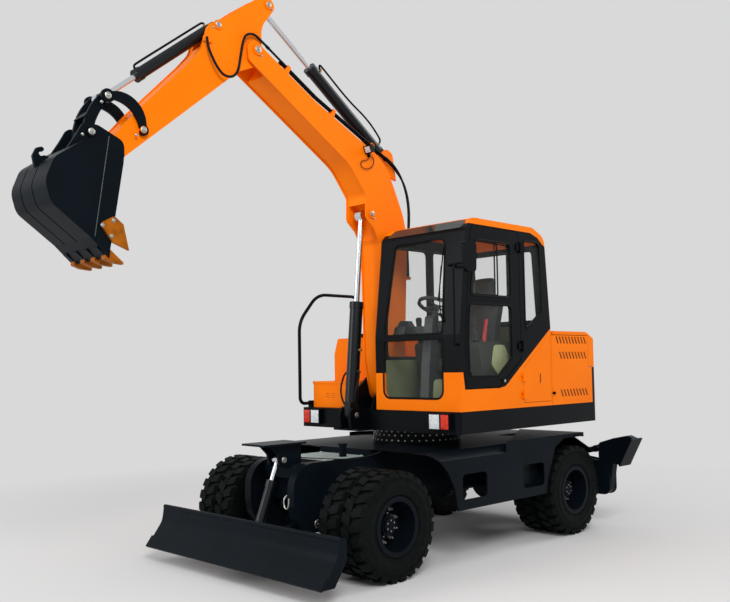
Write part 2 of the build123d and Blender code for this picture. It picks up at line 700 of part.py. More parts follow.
def bonnet():
    w = platform_half_width
    t = panel_thickness
    front = cab_rear - 8 - t - panel_gap
    low = hood_top - 40 + panel_gap
    rear_low = counterweight_top + panel_gap
    back = counterweight_rear
    split = bonnet_split - panel_gap
    shape = [(front, low, 0), (front, hood_top, 0), (-1470, hood_top, 200), (back + 18, 1880, 160),
             (back, rear_low, 0), (split, rear_low, 0), (split, low, 0)]
    body = slab(shape, "y", -w, w)
    inside = [(split + 5, rear_low - 5, 0), (back + t, rear_low - 5, 0), (back + 18 + t, 1868, 140),
              (-1478, hood_top - t, 120), (-1400, hood_top - t, 0), (-1400, low - 5, 0), (split + 5, low - 5, 0)]
    body -= slab(inside, "y", -w + t, w - t)
    plan = [(front + 5, -w, 0), (hood_rear - 60, -w, 60), (back, -w + 170, 380), (back, w - 170, 380),
            (hood_rear - 60, w, 60), (front + 5, w, 0)]
    body = body & slab(plan, "z", rear_low - 10, hood_top + 10)
    for y in bonnet_hinges:
        low, high = y - bonnet_knuckle / 2, y + bonnet_knuckle / 2
        body -= block(bonnet_axis[0] - hinge_radius - 6, front + 5, low - 26, high + 26, hood_top - 45, hood_top + 5)
        body += cross_bar(bonnet_axis, low, high, hinge_radius)
        body += block(bonnet_axis[0] - hinge_radius - 12, bonnet_axis[0], low, high,
                      bonnet_axis[1] - 4, bonnet_axis[1] + hinge_radius - 2)
        body -= cross_bar(bonnet_axis, low - 5, high + 5, hinge_pin_radius + turning_gap)
    write("bonnet", body)


# Side boxes on the right: fuel tank and tool box with a lid
tool_box = (160, 510, -950, -430)
tool_box_top = 1541
lid_thickness = 22
lid_axis_out = 16
lid_hinge_inset = 80
lid_hinge_radius = 9
lid_pin_radius = 4.5
lid_knuckle = 60
lid_ear = 16


def side_tanks():
    tank_top = 1980
    tank = slab([(-1020, platform_top + seat_gap, 0), (-1020, 1820, 20), (-965, tank_top, 30), (-420, tank_top, 30),
                 (-420, platform_top + seat_gap, 0)], "x", -295, 150)
    write("fuel_tank", tank)
    x0, x1, y0, y1 = tool_box
    wall = 12
    top = tool_box_top - lid_thickness - 2
    body = block(x0, x1, y0, y1, platform_top + seat_gap, top)
    body -= block(x0 + wall, x1 - wall, y0 + wall, y1 - wall, platform_top + wall, top + 5)
    lid = block(x0 - 6, x1 + 6, y0 - 6, y1 + 6, top + seat_gap, tool_box_top)
    y, z = y1 + lid_axis_out, tool_box_top - lid_thickness / 2
    half = lid_knuckle / 2
    for x in (x0 + lid_hinge_inset, x1 - lid_hinge_inset):
        body += round_bar((x - half - lid_ear, y, z), (x + half + lid_ear, y, z), lid_pin_radius)
        for low in (x - half - lid_ear, x + half + turning_gap):
            high = low + lid_ear - turning_gap
            body += round_bar((low, y, z), (high, y, z), lid_hinge_radius)
            body += block(low, high, y1 + 7, y + lid_hinge_radius - 1, z - 40, z)
            body += block(low, high, y1, y + lid_hinge_radius - 1, z - 40, z - 18)
        lid += round_bar((x - half, y, z), (x + half, y, z), lid_hinge_radius)
        lid += block(x - half, x + half, y1, y, z - 4, z + 4)
        lid -= round_bar((x - half - 5, y, z), (x + half + 5, y, z), lid_pin_radius + turning_gap)
    write("tool_box", body)
    write("tool_box_lid", lid)


# Cab
cab_profile = [
    (cab_front, platform_top, 0), (cab_front, 1950, 0), (462, 2880, 60), (360, cab_top, 60),
    (-560, cab_top, 120), (-752, 2900, 120), (cab_rear, 2025, 0), (cab_rear, platform_top, 0),
]
skirt_line = [(cab_front + 5, front_post_top), (535, front_post_top), (513, sill_height), (22, sill_height),
              (-72, 1486), (cab_rear - 5, 2029)]
door_outline = [(493, 1482, 30), (25, 1482, 30), (-322, 1732, 40), (-322, 2915, 50), (388, 2915, 70), (493, 1960, 0)]
door_windows = [
    [(418, 2286, 40), (-195, 2286, 40), (-195, 2800, 40), (345, 2800, 60)],
    [(455, 1575, 60), (12, 1575, 40), (-195, 1735, 40), (-195, 2226, 40), (430, 2226, 40), (455, 1950, 0)],
]
quarter_window = [(-400, 1990, 30), (-690, 2175, 30), (-672, 2850, 60), (-400, 2850, 40)]
right_windows = [
    [(440, 1760, 60), (-180, 1760, 60), (-180, 2830, 60), (350, 2830, 60), (440, 2100, 0)],
    [(-240, 2060, 60), (-690, 2060, 60), (-672, 2830, 60), (-240, 2830, 60)],
]
front_windows = [
    [(110, 1385, 80), (840, 1385, 80), (840, 1922, 20), (110, 1922, 20)],
    [(110, 1958, 20), (840, 1958, 20), (815, 2820, 70), (180, 2820, 70)],
]
rear_window = [(150, 2100, 60), (900, 2100, 60), (900, 2800, 60), (150, 2800, 60)]
skylight = (345, 445, 150, 900)
skylight_lip = 2890


def grown(corners, amount):
    centre_a = sum(c[0] for c in corners) / len(corners)
    centre_b = sum(c[1] for c in corners) / len(corners)
    grown_corners = []
    for a, b, r in corners:
        grown_corners.append((a + (amount if a > centre_a else -amount),
                              b + (amount if b > centre_b else -amount), max(r + amount, 0) if r else 0))
    return grown_corners


def cab_shell():
    shell = slab(cab_profile, "y", cab_right, cab_left)
    w = cab_wall
    inner = [(cab_front - w, platform_top + w, 0), (cab_front - w, 1945, 0), (462 - w, 2860, 40),
             (350 - w / 2, cab_top - cab_roof_thickness, 40), (-550, cab_top - cab_roof_thickness, 80),
             (-752 + w, 2880, 80), (cab_rear + w, 2030, 0), (cab_rear + w, platform_top + w, 0)]
    return shell - slab(inner, "y", cab_right + w, cab_left - w)


def cab():
    shell = cab_shell()
    for window in front_windows:
        shell -= slab(window, "x", cab_front - 200, cab_front + 20)
    shell -= slab(rear_window, "x", cab_rear - 20, cab_rear + 150)
    shell -= block(*skylight, skylight_lip, cab_top + 20)
    for window in right_windows:
        shell -= slab(window, "y", cab_right - 5, cab_right + cab_wall + 5)
    shell -= slab(quarter_window, "y", cab_left - cab_wall - 5, cab_left + 5)
    shell -= slab(grown(door_outline, panel_gap), "y", cab_left - cab_wall - 5, cab_left + 5)
    shell -= slab(grown(access_outline, 4), "y", cab_left - cab_wall - 5, cab_left + 5)
    below = slab(skirt_line + [(cab_rear - 5, platform_top - 5), (cab_front + 5, platform_top - 5)], "y",
                 cab_right - 5, cab_left + 5)
    seam = cab_top - cab_roof_thickness
    roof_cut = slab([(470, seam), (-520, seam), (-640, 2893), (-718, 2836), (-790, 2800), (cab_rear - 5, 2800),
                     (cab_rear - 5, cab_top + 10), (500, cab_top + 10), (500, 2850), (470, 2850)], "y", cab_right - 5, cab_left + 5)
    for z in access_hinges:
        shell += upright_hinge(access_axis, z, door_knuckle / 2, access_axis[0] + 30, False)
    x, y = access_axis
    hinge_room = block(x - 42, x + 48, cab_left - 2, cab_left + 60, access_hinges[0] - 70, access_hinges[-1] + 90)
    skirt = shell & (below + hinge_room)
    upper = shell - below - hinge_room
    roof = upper & roof_cut
    for x in roof_eyes:
        eye = slab([(x - 32, cab_top - 20, 0), (x + 32, cab_top - 20, 0), (x + 22, cab_top + 38, 20),
                    (x - 22, cab_top + 38, 20)], "y", roof_eye_y - 6, roof_eye_y + 6)
        roof += eye - cross_bar((x, cab_top + 18), roof_eye_y - 10, roof_eye_y + 10, roof_eye_hole)
    posts = upper - roof_cut
    lifted = block(cab_rear, cab_front, cab_right, cab_left + 60, platform_top + seat_gap, cab_top)
    write("cab_skirt", skirt & lifted)
    left = posts & cab_slice(cab_left - cab_wall + seat_gap / 2, cab_left)
    for z in door_hinges:
        left += upright_hinge(door_axis, z, door_knuckle, door_axis[0] - 40, False)
    right = posts & cab_slice(cab_right, cab_right + cab_wall - seat_gap / 2)
    ends = posts & cab_slice(cab_right + cab_wall + seat_gap / 2, cab_left - cab_wall - seat_gap / 2)
    rear, front = ends.solids().sort_by(Axis.X)
    arm = FilletPolyline((480, 900, 2560), (575, 900, 2560), (575, 1125 - seat_gap, 2560), radius=[50])
    front += sweep(Plane(origin=arm @ 0, z_dir=arm % 0) * Circle(10), path=arm)
    write("cab_posts", [left, right, front, rear])
    write("cab_roof", roof)


def cab_slice(y_low, y_high):
    return block(cab_rear - 5, cab_front + 5, y_low, y_high, platform_top, cab_top + 5)


access_outline = [(-352, 1325, 15), (-805, 1325, 15), (-805, 1960, 15), (-352, 1635, 15)]


# The fixed ears and pin of an upright hinge on the cab's side, or the knuckle that turns on it
def upright_hinge(axis, z, knuckle, strap_end, moving):
    x, y = axis
    half = knuckle / 2
    reach = sorted((x, strap_end))
    if moving:
        body = round_bar((x, y, z - half), (x, y, z + half), hinge_radius)
        body += block(*reach, cab_left + 1, y - 4, z - half, z + half)
        seat = sorted((strap_end, strap_end + (14 if strap_end < x else -14)))
        body += block(*seat, cab_left - 4, cab_left + 3, z - half, z + half)
        return body - round_bar((x, y, z - half - 5), (x, y, z + half + 5), hinge_pin_radius + turning_gap)
    body = round_bar((x, y, z - half - 20), (x, y, z + half + 20), hinge_pin_radius)
    for low in (z - half - 20, z + half + turning_gap):
        body += round_bar((x, y, low), (x, y, low + 19.5), hinge_radius)
        body += block(*reach, cab_left - 4, y - 4, low, low + 19.5)
    return body


def cab_glass():
    panes = []
    shrink = -seat_gap
    mid = cab_wall / 2 - glass_thickness / 2
    for window in right_windows:
        panes.append(slab(grown(window, shrink), "y", cab_right + mid, cab_right + mid + glass_thickness))
    panes.append(slab(grown(quarter_window, shrink), "y", cab_left - mid - glass_thickness, cab_left - mid))
    lower = slab(grown(front_windows[0], shrink), "x", cab_front - mid - glass_thickness, cab_front - mid)
    panes.append(lower)
    band = [(cab_front - mid - glass_thickness, 1945), (cab_front - mid, 1945),
            (462 - mid + 4, 2880), (462 - mid - glass_thickness + 4, 2880)]
    panes.append(slab(grown(front_windows[1], shrink), "x", 300, 620) & slab(band, "y", 60, 960))
    rear_band = [(cab_rear + mid, 2030), (cab_rear + mid + glass_thickness, 2030),
                 (-752 + mid + glass_thickness, 2880), (-752 + mid, 2880)]
    panes.append(slab(grown(rear_window, shrink), "x", cab_rear - 20, cab_rear + 150) & slab(rear_band, "y", 60, 960))
    low, high = Vector(*cab_profile[2][:2]), Vector(*cab_profile[3][:2])
    along = (high - low).normalized()
    inward = Vector(-along.Y, along.X)
    band = [low + inward * mid, high + inward * mid, high + inward * (mid + glass_thickness),
            low + inward * (mid + glass_thickness)]
    x_low, x_high, y_low, y_high = skylight
    hole = block(x_low + seat_gap, x_high - seat_gap, y_low + seat_gap, y_high - seat_gap,
                 skylight_lip + seat_gap, cab_top)
    panes.append(slab([(p.X, p.Y) for p in band], "y", y_low, y_high) & hole)
    write("cab_glass", panes)


def cab_door():
    panel = slab(door_outline, "y", cab_left - cab_wall, cab_left)
    for window in door_windows:
        panel -= slab(window, "y", cab_left - cab_wall - 5, cab_left + 5)
    for z in door_hinges:
        panel += upright_hinge(door_axis, z, door_knuckle, door_axis[0] + 60, True)
    write("cab_door", panel)
    mid = cab_wall / 2 - glass_thickness / 2
    panes = [slab(grown(window, -seat_gap), "y", cab_left - mid - glass_thickness, cab_left - mid)
             for window in door_windows]
    write("door_glass", panes)
    hatch = slab(access_outline, "y", cab_left - panel_thickness, cab_left)
    for z in access_hinges:
        hatch += upright_hinge(access_axis, z, door_knuckle / 2, access_axis[0] - 40, True)
    write("access_door", hatch)


def cab_inside():
    seat_y = 520
    floor = platform_top + cab_wall
    seat = block(-330, -10, seat_y - 160, seat_y + 160, floor + seat_gap, 1620)
    seat += slab([(-390, 1620, 20), (110, 1620, 40), (120, 1750, 60), (-390, 1740, 20)], "y", seat_y - 250, seat_y + 250)
    seat += slab([(-330, 1700, 30), (-250, 1730, 30), (-390, 2330, 50), (-500, 2330, 50)], "y", seat_y - 240, seat_y + 240)
    seat += slab([(-405, 2320, 20), (-480, 2320, 20), (-520, 2540, 40), (-430, 2540, 40)], "y", seat_y - 130, seat_y + 130)
    write("seat", seat)
    consoles = []
    for sign in (1, -1):
        y = seat_y + sign * 330
        side = slab([(-300, floor + seat_gap, 0), (60, floor + seat_gap, 0), (160, 1900, 40), (-300, 1900, 40)], "y",
                    y - 60, y + 60)
        side += round_bar((110, y, 1850), (150, y, 2080), 14)
        side += round_bar((146, y, 2060), (158, y, 2130), 26)
        consoles.append(side)
    write("consoles", consoles)
    column = slab([(330, floor + seat_gap, 0), (470, floor + seat_gap, 0), (440, 1700, 30), (380, 2130, 30),
                   (300, 2160, 30), (320, 1700, 30)], "y", seat_y - 50, seat_y + 50)
    centre = Vector(262, seat_y, 2215)
    lean = Vector(-0.42, 0, 0.9).normalized()
    wheel = Plane(origin=centre, x_dir=(0, 1, 0), z_dir=lean)
    ring = Solid.make_cylinder(190, 26, wheel) - Solid.make_cylinder(164, 26, wheel)
    column += Solid.make_cylinder(24, 120, Plane(origin=centre - lean * 95, z_dir=lean))
    column += ring
    for across in (wheel.x_dir, wheel.y_dir):
        start = centre + lean * 13 - across * 172
        column += Solid.make_cylinder(9, 344, Plane(origin=start, z_dir=across))
    write("steering_column", column)


lamp_inner = 720
lamp_split = 852
lamp_outer = 955
lamp_heights = (1122, 1268)
lamp_depth = 42
lamp_rim = 7
lens_depth = 10


def rails_and_lamps():
    y = -1000
    path = FilletPolyline((505, y, 1318), (650, y, 1318), (650, y, 2150), (400, y, 2440), (-210, y, 2440),
                          (-210, y, 1985), radius=[60, 300, 260, 120])
    rail = sweep(Plane(origin=path @ 0, z_dir=path % 0) * Circle(17), path=path)
    feet = rail + block(470, 520, y - 25, y + 25, platform_top + seat_gap, 1345)
    write("handrail", feet)
    head = slab([(480, 2480, 40), (620, 2480, 40), (640, 2740, 40), (470, 2740, 40)], "y", 1125, 1160)
    write("cab_mirror", head)
    lamps = []
    low, high = lamp_heights
    pocket = platform_front + lamp_depth - lens_depth
    for sign in (1, -1):
        ends = sorted(sign * y for y in (lamp_inner, lamp_outer))
        housing = block(platform_front + seat_gap, platform_front + lamp_depth, *ends, low, high)
        lenses = []
        for inner, outer in ((lamp_inner, lamp_split), (lamp_split, lamp_outer)):
            a, b = sorted((sign * (inner + lamp_rim), sign * (outer - lamp_rim)))
            hole = [(a, low + lamp_rim, 10), (b, low + lamp_rim, 10), (b, high - lamp_rim, 10),
                    (a, high - lamp_rim, 10)]
            housing -= slab(hole, "x", pocket, platform_front + lamp_depth + 5)
            lens = slab(inset(hole, seat_gap), "x", pocket + seat_gap, platform_front + lamp_depth + 4)
            lenses.append(lens)
        lamps += [housing] + lenses
    write("front_lamps", lamps)


# Boom, arm, links and bucket
boom_top = [(2000, 4545), (1237, 4101), (330, 3680)]


def boom():
    y_low = boom_centre_y - boom_width / 2
    y_high = boom_centre_y + boom_width / 2
    fx, fz = boom_foot
    shape = [
        (fx - 95, fz - 95, 92), (fx + 95, fz - 95, 92), (392, 1750, 300), (410, 2871, 60), (500, 3010, 50),
        (606, 3105, 60), (600, 3320, 60), (800, 3577, 500), (1975, 4303, 40), (*boom_top[0], 75),
        (*boom_top[1], 200), (*boom_top[2], 500), (28, 3059, 900), (75, 2200, 600),
    ]
    body = slab(inset(shape, plate_lip), "y", y_low + 5, y_high - 5)
    body += slab(shape, "y", y_low, y_low + side_plate)
    body += slab(shape, "y", y_high - side_plate, y_high)
    inner = boom_width / 2 - tip_plate
    ax, az = arm_pin
    tip = [(ax - 130, az + 260), (ax + 400, az + 260), (ax + 400, az - 260), (ax - 60, az - 260), (ax - 150, az - 60)]
    body -= slab(tip, "y", boom_centre_y - inner, boom_centre_y + inner)
    ex, ez = boom_ram_eye
    notch = [(ex - 120, ez - 230), (ex + 300, ez - 230), (ex + 300, ez + 75), (ex - 20, ez + 105), (ex - 122, ez + 20)]
    body -= slab(notch, "y", boom_centre_y - inner, boom_centre_y + inner)
    body += cross_bar(arm_pin, y_low + 5, y_high - 5, pin_radius)
    bx, bz = arm_ram_base
    lug = [(bx - 120, bz - 230, 0), (bx + 320, bz - 120, 0), (bx + 80, bz + 20, 60), (bx + 20, bz + 75, 55),
           (bx - 70, bz + 40, 60)]
    for sign in (1, -1):
        low, high = sorted((sign * 46, sign * 72))
        body += slab(lug, "y", boom_centre_y + low, boom_centre_y + high)
    body += cross_bar(arm_ram_base, boom_centre_y - 50, boom_centre_y + 50, 28)
    body -= cross_bar(boom_foot, y_low - 5, y_high + 5, pin_radius + turning_gap)
    for pin, radius in ((arm_pin, 48), (boom_ram_eye, 42)):
        for sign in (1, -1):
            low, high = sorted((sign * (boom_width / 2 - 2), sign * (boom_width / 2 + 12)))
            body += cross_bar(pin, boom_centre_y + low, boom_centre_y + high, radius)
    for clamp in boom_clamps():
        body += clamp
    write("boom", body)


def arm():
    y_low = boom_centre_y - arm_width / 2
    y_high = boom_centre_y + arm_width / 2
    shape = [
        (1815, 4300, 85), (2057, 4190, 0), (3140, 3272, 0), (3200, 3240, 0), (3290, 3330, 0), (3270, 3382, 0),
        (3196, 3453, 0), (3009, 3669, 100),
        (2541, 4159, 300), (2430, 4290, 150), (2356, 4518, 60), (2190, 4618, 0), (1998, 4775, 120),
        (1745, 4960, 85), (1655, 4850, 60), (1815, 4640, 200),
    ]
    body = slab(inset(shape, arm_plate_lip), "y", y_low + 5, y_high - 5)
    body += slab(shape, "y", y_low, y_low + side_plate)
    body += slab(shape, "y", y_high - side_plate, y_high)
    body += cross_bar(bucket_pin, y_low, y_high, arm_end_radius)
    ex, ez = arm_ram_eye
    fork = [(ex - 200, ez - 200), (ex + 62, ez - 130), (ex + 120, ez + 30), (ex + 40, ez + 200), (ex - 200, ez + 200)]
    body -= slab(fork, "y", boom_centre_y - 46, boom_centre_y + 46)
    bx, bz = bucket_ram_base
    slot = [(bx - 70, bz + 160), (bx - 85, bz - 40), (bx, bz - 105), (bx + 240, bz - 290), (bx + 300, bz + 160)]
    body -= slab(slot, "y", boom_centre_y - 58, boom_centre_y + 58)
    body += cross_bar(bucket_ram_base, boom_centre_y - 60, boom_centre_y + 60, 26)
    body -= cross_bar(arm_pin, y_low - 5, y_high + 5, pin_radius + turning_gap)
    for pin, radius in ((arm_ram_eye, 42), (bucket_ram_base, 40)):
        for sign in (1, -1):
            low, high = sorted((sign * (arm_width / 2 - 2), sign * (arm_width / 2 + 10)))
            body += cross_bar(pin, boom_centre_y + low, boom_centre_y + high, radius)
    for pin in (guide_pin, bucket_pin):
        body += cross_bar(pin, y_low - 32, y_high + 32, small_pin_radius)
    x, y, z = arm_hose_route[0]
    body += block(x - 60, x + 14, y_high - 5, y - 14, z - 30, z + 10)
    write("arm", body)


link_plate = 22


def bent_plate(start, end, bulge, width, y_low, y_high):
    a, b = Vector(*start), Vector(*end)
    along = (b - a).normalized()
    side = Vector(-along.Y, along.X)
    middle = (a + b) / 2 + side * bulge
    half = width / 2

    def offset_arc(shift):
        low = a + side * shift
        high = b + side * shift
        return [Vector(p.X, y_low, p.Y) for p in (low, middle + side * shift, high)]

    outer, inner = offset_arc(half), offset_arc(-half)
    cap_a = a - along * half
    cap_b = b + along * half
    edges = [
        Edge.make_three_point_arc(*outer),
        Edge.make_three_point_arc(outer[2], Vector(cap_b.X, y_low, cap_b.Y), inner[2]),
        Edge.make_three_point_arc(inner[2], inner[1], inner[0]),
        Edge.make_three_point_arc(inner[0], Vector(cap_a.X, y_low, cap_a.Y), outer[0]),
    ]
    return Solid.extrude(Face(Wire(edges)), Vector(0, y_high - y_low, 0))


def links():
    near = boom_centre_y + arm_width / 2 + side_gap
    guide = None
    for low in (near, 2 * boom_centre_y - near - link_plate):
        plate = bent_plate(guide_pin, link_pin, 95, 88, low, low + link_plate)
        plate += cross_bar(link_pin, low, low + link_plate, 52)
        guide = [plate] if guide is None else guide + [plate]
    pin_low, pin_high = 2 * boom_centre_y - near - link_plate + 2, near + link_plate - 2
    body = guide[0] + guide[1] + cross_bar(link_pin, pin_low, pin_low + 30, small_pin_radius)
    body += cross_bar(link_pin, pin_high - 30, pin_high, small_pin_radius)
    body -= cross_bar(guide_pin, pin_low - 10, pin_high + 10, small_pin_radius + turning_gap)
    write("guide_links", body)
    half_high = 92
    body = None
    for sign in (1, -1):
        low, high = sorted((boom_centre_y + sign * (half_high - 26), boom_centre_y + sign * half_high))
        plate = bent_plate(link_pin, bucket_link_pin, 28, 80, low, high)
        body = plate if body is None else body + plate
    kx, kz = bucket_link_pin
    web = [(kx - 42, kz + 100), (kx + 25, kz + 125), (kx - 10, kz + 170), (kx - 67, kz + 149)]
    body += slab(web, "y", boom_centre_y - half_high + 5, boom_centre_y + half_high - 5)
    body += cross_bar(bucket_link_pin, boom_centre_y - half_high, boom_centre_y + half_high, 42)
    body -= cross_bar(bucket_link_pin, boom_centre_y - 100, boom_centre_y + 100, small_pin_radius + turning_gap)
    write("bucket_link", body)


bucket_back = [
    (3524, 3317, 100), (3747, 3157, 120), (3812, 2985, 150), (3770, 2840, 120), (3482, 2628, 0), (3335, 2492, 0),
]
bucket_groove = 7
bucket_groove_width = 14
bucket_grooves = (-318, -130)
side_cutter = [(3417, 2730, 25), (3308, 2792, 25), (3236, 2739, 10), (3192, 2553, 0), (3318, 2600, 10)]
cutter_plate = 20
lifting_hook = [(3650, 3218, 0), (3690, 3226, 8), (3722, 3216, 10), (3736, 3234, 8), (3724, 3250, 5), (3704, 3252, 5),
                (3694, 3270, 8), (3712, 3286, 10), (3752, 3272, 22), (3780, 3212, 25), (3762, 3130, 0)]
hook_plate = 25
tooth_width = 62
tooth_count = 4
bucket_inside = [
    (3517, 3298, 82), (3731, 3145, 105), (3793, 2985, 135), (3755, 2852, 105), (3470, 2642, 0), (3345, 2520, 0),
]


def bucket():
    t = bucket_plate
    side_plate = [(3223, 3200, 0), (3218, 3302, 30), (3308, 3390, 30), (3391, 3360, 30)] + bucket_back + [
        (3329, 2551, 0)]
    body = slab(side_plate, "y", bucket_left - t, bucket_left)
    body += slab(side_plate, "y", bucket_right, bucket_right + t)
    wrapper = [(3223, 3200, 0), (3340, 3203, 60), (3445, 3288, 40)] + bucket_back + [(3329, 2551, 0)]
    hollow = [(3100, 3182, 0), (3345, 3185, 60), (3450, 3269, 40)] + bucket_inside + [(3100, 2520, 0)]
    body += slab(wrapper, "y", bucket_right + 5, bucket_left - 5) - slab(hollow, "y", bucket_right, bucket_left)
    kx, kz = bucket_link_pin
    bx, bz = bucket_pin
    ear = [(bx - 72, bz - 60, 60), (3226, 3190, 0), (3350, 3192, 30), (3450, 3278, 20), (3600, 3252, 0),
           (3520, 3380, 40), (kx + 55, kz + 70, 60), (kx - 60, kz + 60, 60), (bx - 72, bz + 72, 70)]
    for sign in (1, -1):
        low, high = sorted((sign * (arm_width / 2 + side_gap), sign * (boom_width / 2)))
        body += slab(ear, "y", boom_centre_y + low, boom_centre_y + high)
    body -= cross_bar(bucket_pin, boom_centre_y - 150, boom_centre_y + 150, small_pin_radius + turning_gap)
    body += cross_bar(bucket_link_pin, boom_centre_y - boom_width / 2 + 2, boom_centre_y + boom_width / 2 - 2,
                      small_pin_radius)
    for sign in (1, -1):
        low, high = sorted((sign * (boom_width / 2 - 2), sign * (boom_width / 2 + 12)))
        body += cross_bar(bucket_link_pin, boom_centre_y + low, boom_centre_y + high, 38)
    back = slab(wrapper, "y", bucket_right, bucket_left) - slab(inset(wrapper, bucket_groove), "y", -500, 500)
    for y in bucket_grooves:
        body -= back & block(3400, 3900, y - bucket_groove_width / 2, y + bucket_groove_width / 2, 2620, 3230)
    body += slab(lifting_hook, "y", boom_centre_y - hook_plate / 2, boom_centre_y + hook_plate / 2) - slab(
        inset(wrapper, 10), "y", -500, 500)
    width = bucket_left - bucket_right
    spacing = (width - 90) / (tooth_count - 1)
    centres = [bucket_right + 45 + i * spacing for i in range(tooth_count)]
    adapter = [(3362, 2512, 0), (3420, 2556, 0), (3428, 2604, 0), (3404, 2600, 0), (3318, 2535, 0), (3318, 2490, 0)]
    for y in centres:
        body += slab(adapter, "y", y - tooth_width / 2 + 6, y + tooth_width / 2 - 6)
    write("bucket", body)
    teeth = []
    point = [(3372, 2490, 0), (3350, 2552, 0), (3318, 2552, 0), (3211, 2468, 0), (3214, 2453, 0), (3300, 2462, 60)]
    nose = [(-tooth_width / 2, 3360), (tooth_width / 2, 3360), (19, 3205), (-19, 3205)]
    for y in centres:
        taper = slab([(b, y + a) for a, b in nose], "z", 2400, 2600)
        teeth.append((slab(point, "y", y - tooth_width / 2, y + tooth_width / 2) & taper) - body)
    for low in (bucket_left + seat_gap, bucket_right - seat_gap - cutter_plate):
        teeth.append(slab(side_cutter, "y", low, low + cutter_plate))
    write("bucket_teeth", teeth)


# Two pipes along the boom's top, held off it by clamps, with a hose from each behind the boom
pipe_lines = (-64, -92)
pipe_starts = (1800, 1640)
pipe_end = 300
pipe_radius = 10
pipe_bend = 160
pipe_height = 50
clamp_places = [(0, 1560), (1, 1020), (1, 520)]
clamp_half = 20
clamp_height = 72
nut_radius = 14
nut_length = 32
hose_radius = 9
hose_stop = (10, 2570)
hose_lead = 58
hose_routes = [
    [(128, 3612), (54, 3502), (8, 3372), (-10, 3230), (-4, 3090), (8, 2950), (18, 2812), (10, 2688)],
    [(134, 3630), (36, 3540), (-28, 3405), (-52, 3252), (-46, 3096), (-26, 2946), (-6, 2812), (10, 2688)],
]
arm_hose_radius = 8
arm_hose_route = [
    (2400, -46, 4388), (2396, -42, 4315), (2364, -33, 4235), (2321, -28, 4160), (2258, -26, 4097),
    (2168, -26, 4097), (2105, -26, 4160), (2080, -27, 4290), (2050, -30, 4440), (2008, -38, 4513),
    (1912, -52, 4541),
]


# A point over the boom's top, on the line between two of its corners
def above_boom(line, x, height):
    (a, b), (c, d) = boom_top[line], boom_top[line + 1]
    along = Vector(a - c, b - d).normalized()
    point = Vector(x, b + (x - a) * (d - b) / (c - a)) + Vector(-along.Y, along.X) * height
    return point, along


def tube(points, radius, radii):
    path = FilletPolyline(*points, radius=radii)
    return sweep(Plane(origin=path @ 0, z_dir=path % 0) * Circle(radius), path=path)


# Radii that leave each bend as open as the runs on either side allow
def open_bends(points):
    points = [Vector(*p) for p in points]
    radii = []
    for before, here, after in zip(points, points[1:], points[2:]):
        half_turn = radians((here - before).get_angle(after - here)) / 2
        radii.append(0.45 * min((here - before).length, (after - here).length) / tan(half_turn))
    return radii


def pipe_points(number):
    y = pipe_lines[number]
    start = above_boom(0, pipe_starts[number], pipe_height)[0]
    first, way_one = above_boom(0, boom_top[1][0], 0)
    way_two = above_boom(1, boom_top[1][0], 0)[1]
    up_one, up_two = Vector(-way_one.Y, way_one.X), Vector(-way_two.Y, way_two.X)
    bend = first + (up_one + up_two) * (pipe_height / (1 + up_one.dot(up_two)))
    end = above_boom(1, pipe_end, pipe_height)[0]
    return [(p.X, y, p.Y) for p in (start, bend, end)]


def boom_clamps():
    clamps = []
    y_low, y_high = pipe_lines[1] - 18, pipe_lines[0] + 12
    for line, x in clamp_places:
        foot, along = above_boom(line, x, -plate_lip - 5)
        top = above_boom(line, x, clamp_height)[0]
        pipe = above_boom(line, x, pipe_height)[0]
        corners = [foot - along * clamp_half, foot + along * clamp_half, top + along * clamp_half,
                   top - along * clamp_half]
        clamp = slab([(c.X, c.Y) for c in corners], "y", y_low, y_high)
        for y in pipe_lines:
            ends = [(p.X, y, p.Y) for p in (pipe - along * clamp_half * 2, pipe + along * clamp_half * 2)]
            clamp -= round_bar(*ends, pipe_radius + seat_gap)
        clamps.append(clamp)
    x, z = hose_stop
    clamps.append(block(x - 22, 90, y_low, y_high, z - 28, z - seat_gap))
    return clamps


def boom_fittings():
    pieces = []
    for number in range(2):
        points = pipe_points(number)
        pipe = tube(points, pipe_radius, [pipe_bend])
        for tip, inner in ((points[0], points[1]), (points[2], points[1])):
            inward = (Vector(*inner) - Vector(*tip)).normalized()
            pipe += Solid.make_cylinder(nut_radius, nut_length, Plane(origin=Vector(*tip), z_dir=inward))
        pieces.append(pipe)
    y_face = boom_centre_y + boom_width / 2 + seat_gap
    centre = Vector(592, y_face + 44, 3757)
    facing = Vector(0.92, 0.1, -0.38).normalized()
    head = Plane(origin=centre, x_dir=Vector(-0.1, 0.92, 0), z_dir=facing)
    lamp = head * Box(78, 74, 60)
    lamp -= head * Pos(0, 0, 30) * Box(64, 60, 12)
    stem = slab([(540, 3690, 8), (566, 3690, 8), (600, 3757, 0), (560, 3775, 0)], "y", y_face, y_face + 14)
    pieces.append(lamp + stem)
    write("boom_fittings", pieces)


def hoses():
    pieces = []
    for number, route in enumerate(hose_routes):
        y = pipe_lines[number]
        start, along = above_boom(1, pipe_end - seat_gap, pipe_height)
        lead = start - along * hose_lead
        points = [(start.X, y, start.Y), (lead.X, y, lead.Y)]
        points += [(a, y, b) for a, b in route + [hose_stop]]
        radii = open_bends(points)
        print("boom hose", number, "radii", [round(r) for r in radii])
        pieces.append(tube(points, hose_radius, radii))
    write("boom_hoses", pieces)
    start, along = above_boom(0, pipe_starts[0] + seat_gap, pipe_height)
    lead = start + along * hose_lead
    points = arm_hose_route + [(lead.X, pipe_lines[0], lead.Y), (start.X, pipe_lines[0], start.Y)]
    radii = open_bends(points)
    print("arm hose radii", [round(r) for r in radii])
    write("arm_hose", tube(points, arm_hose_radius, radii))


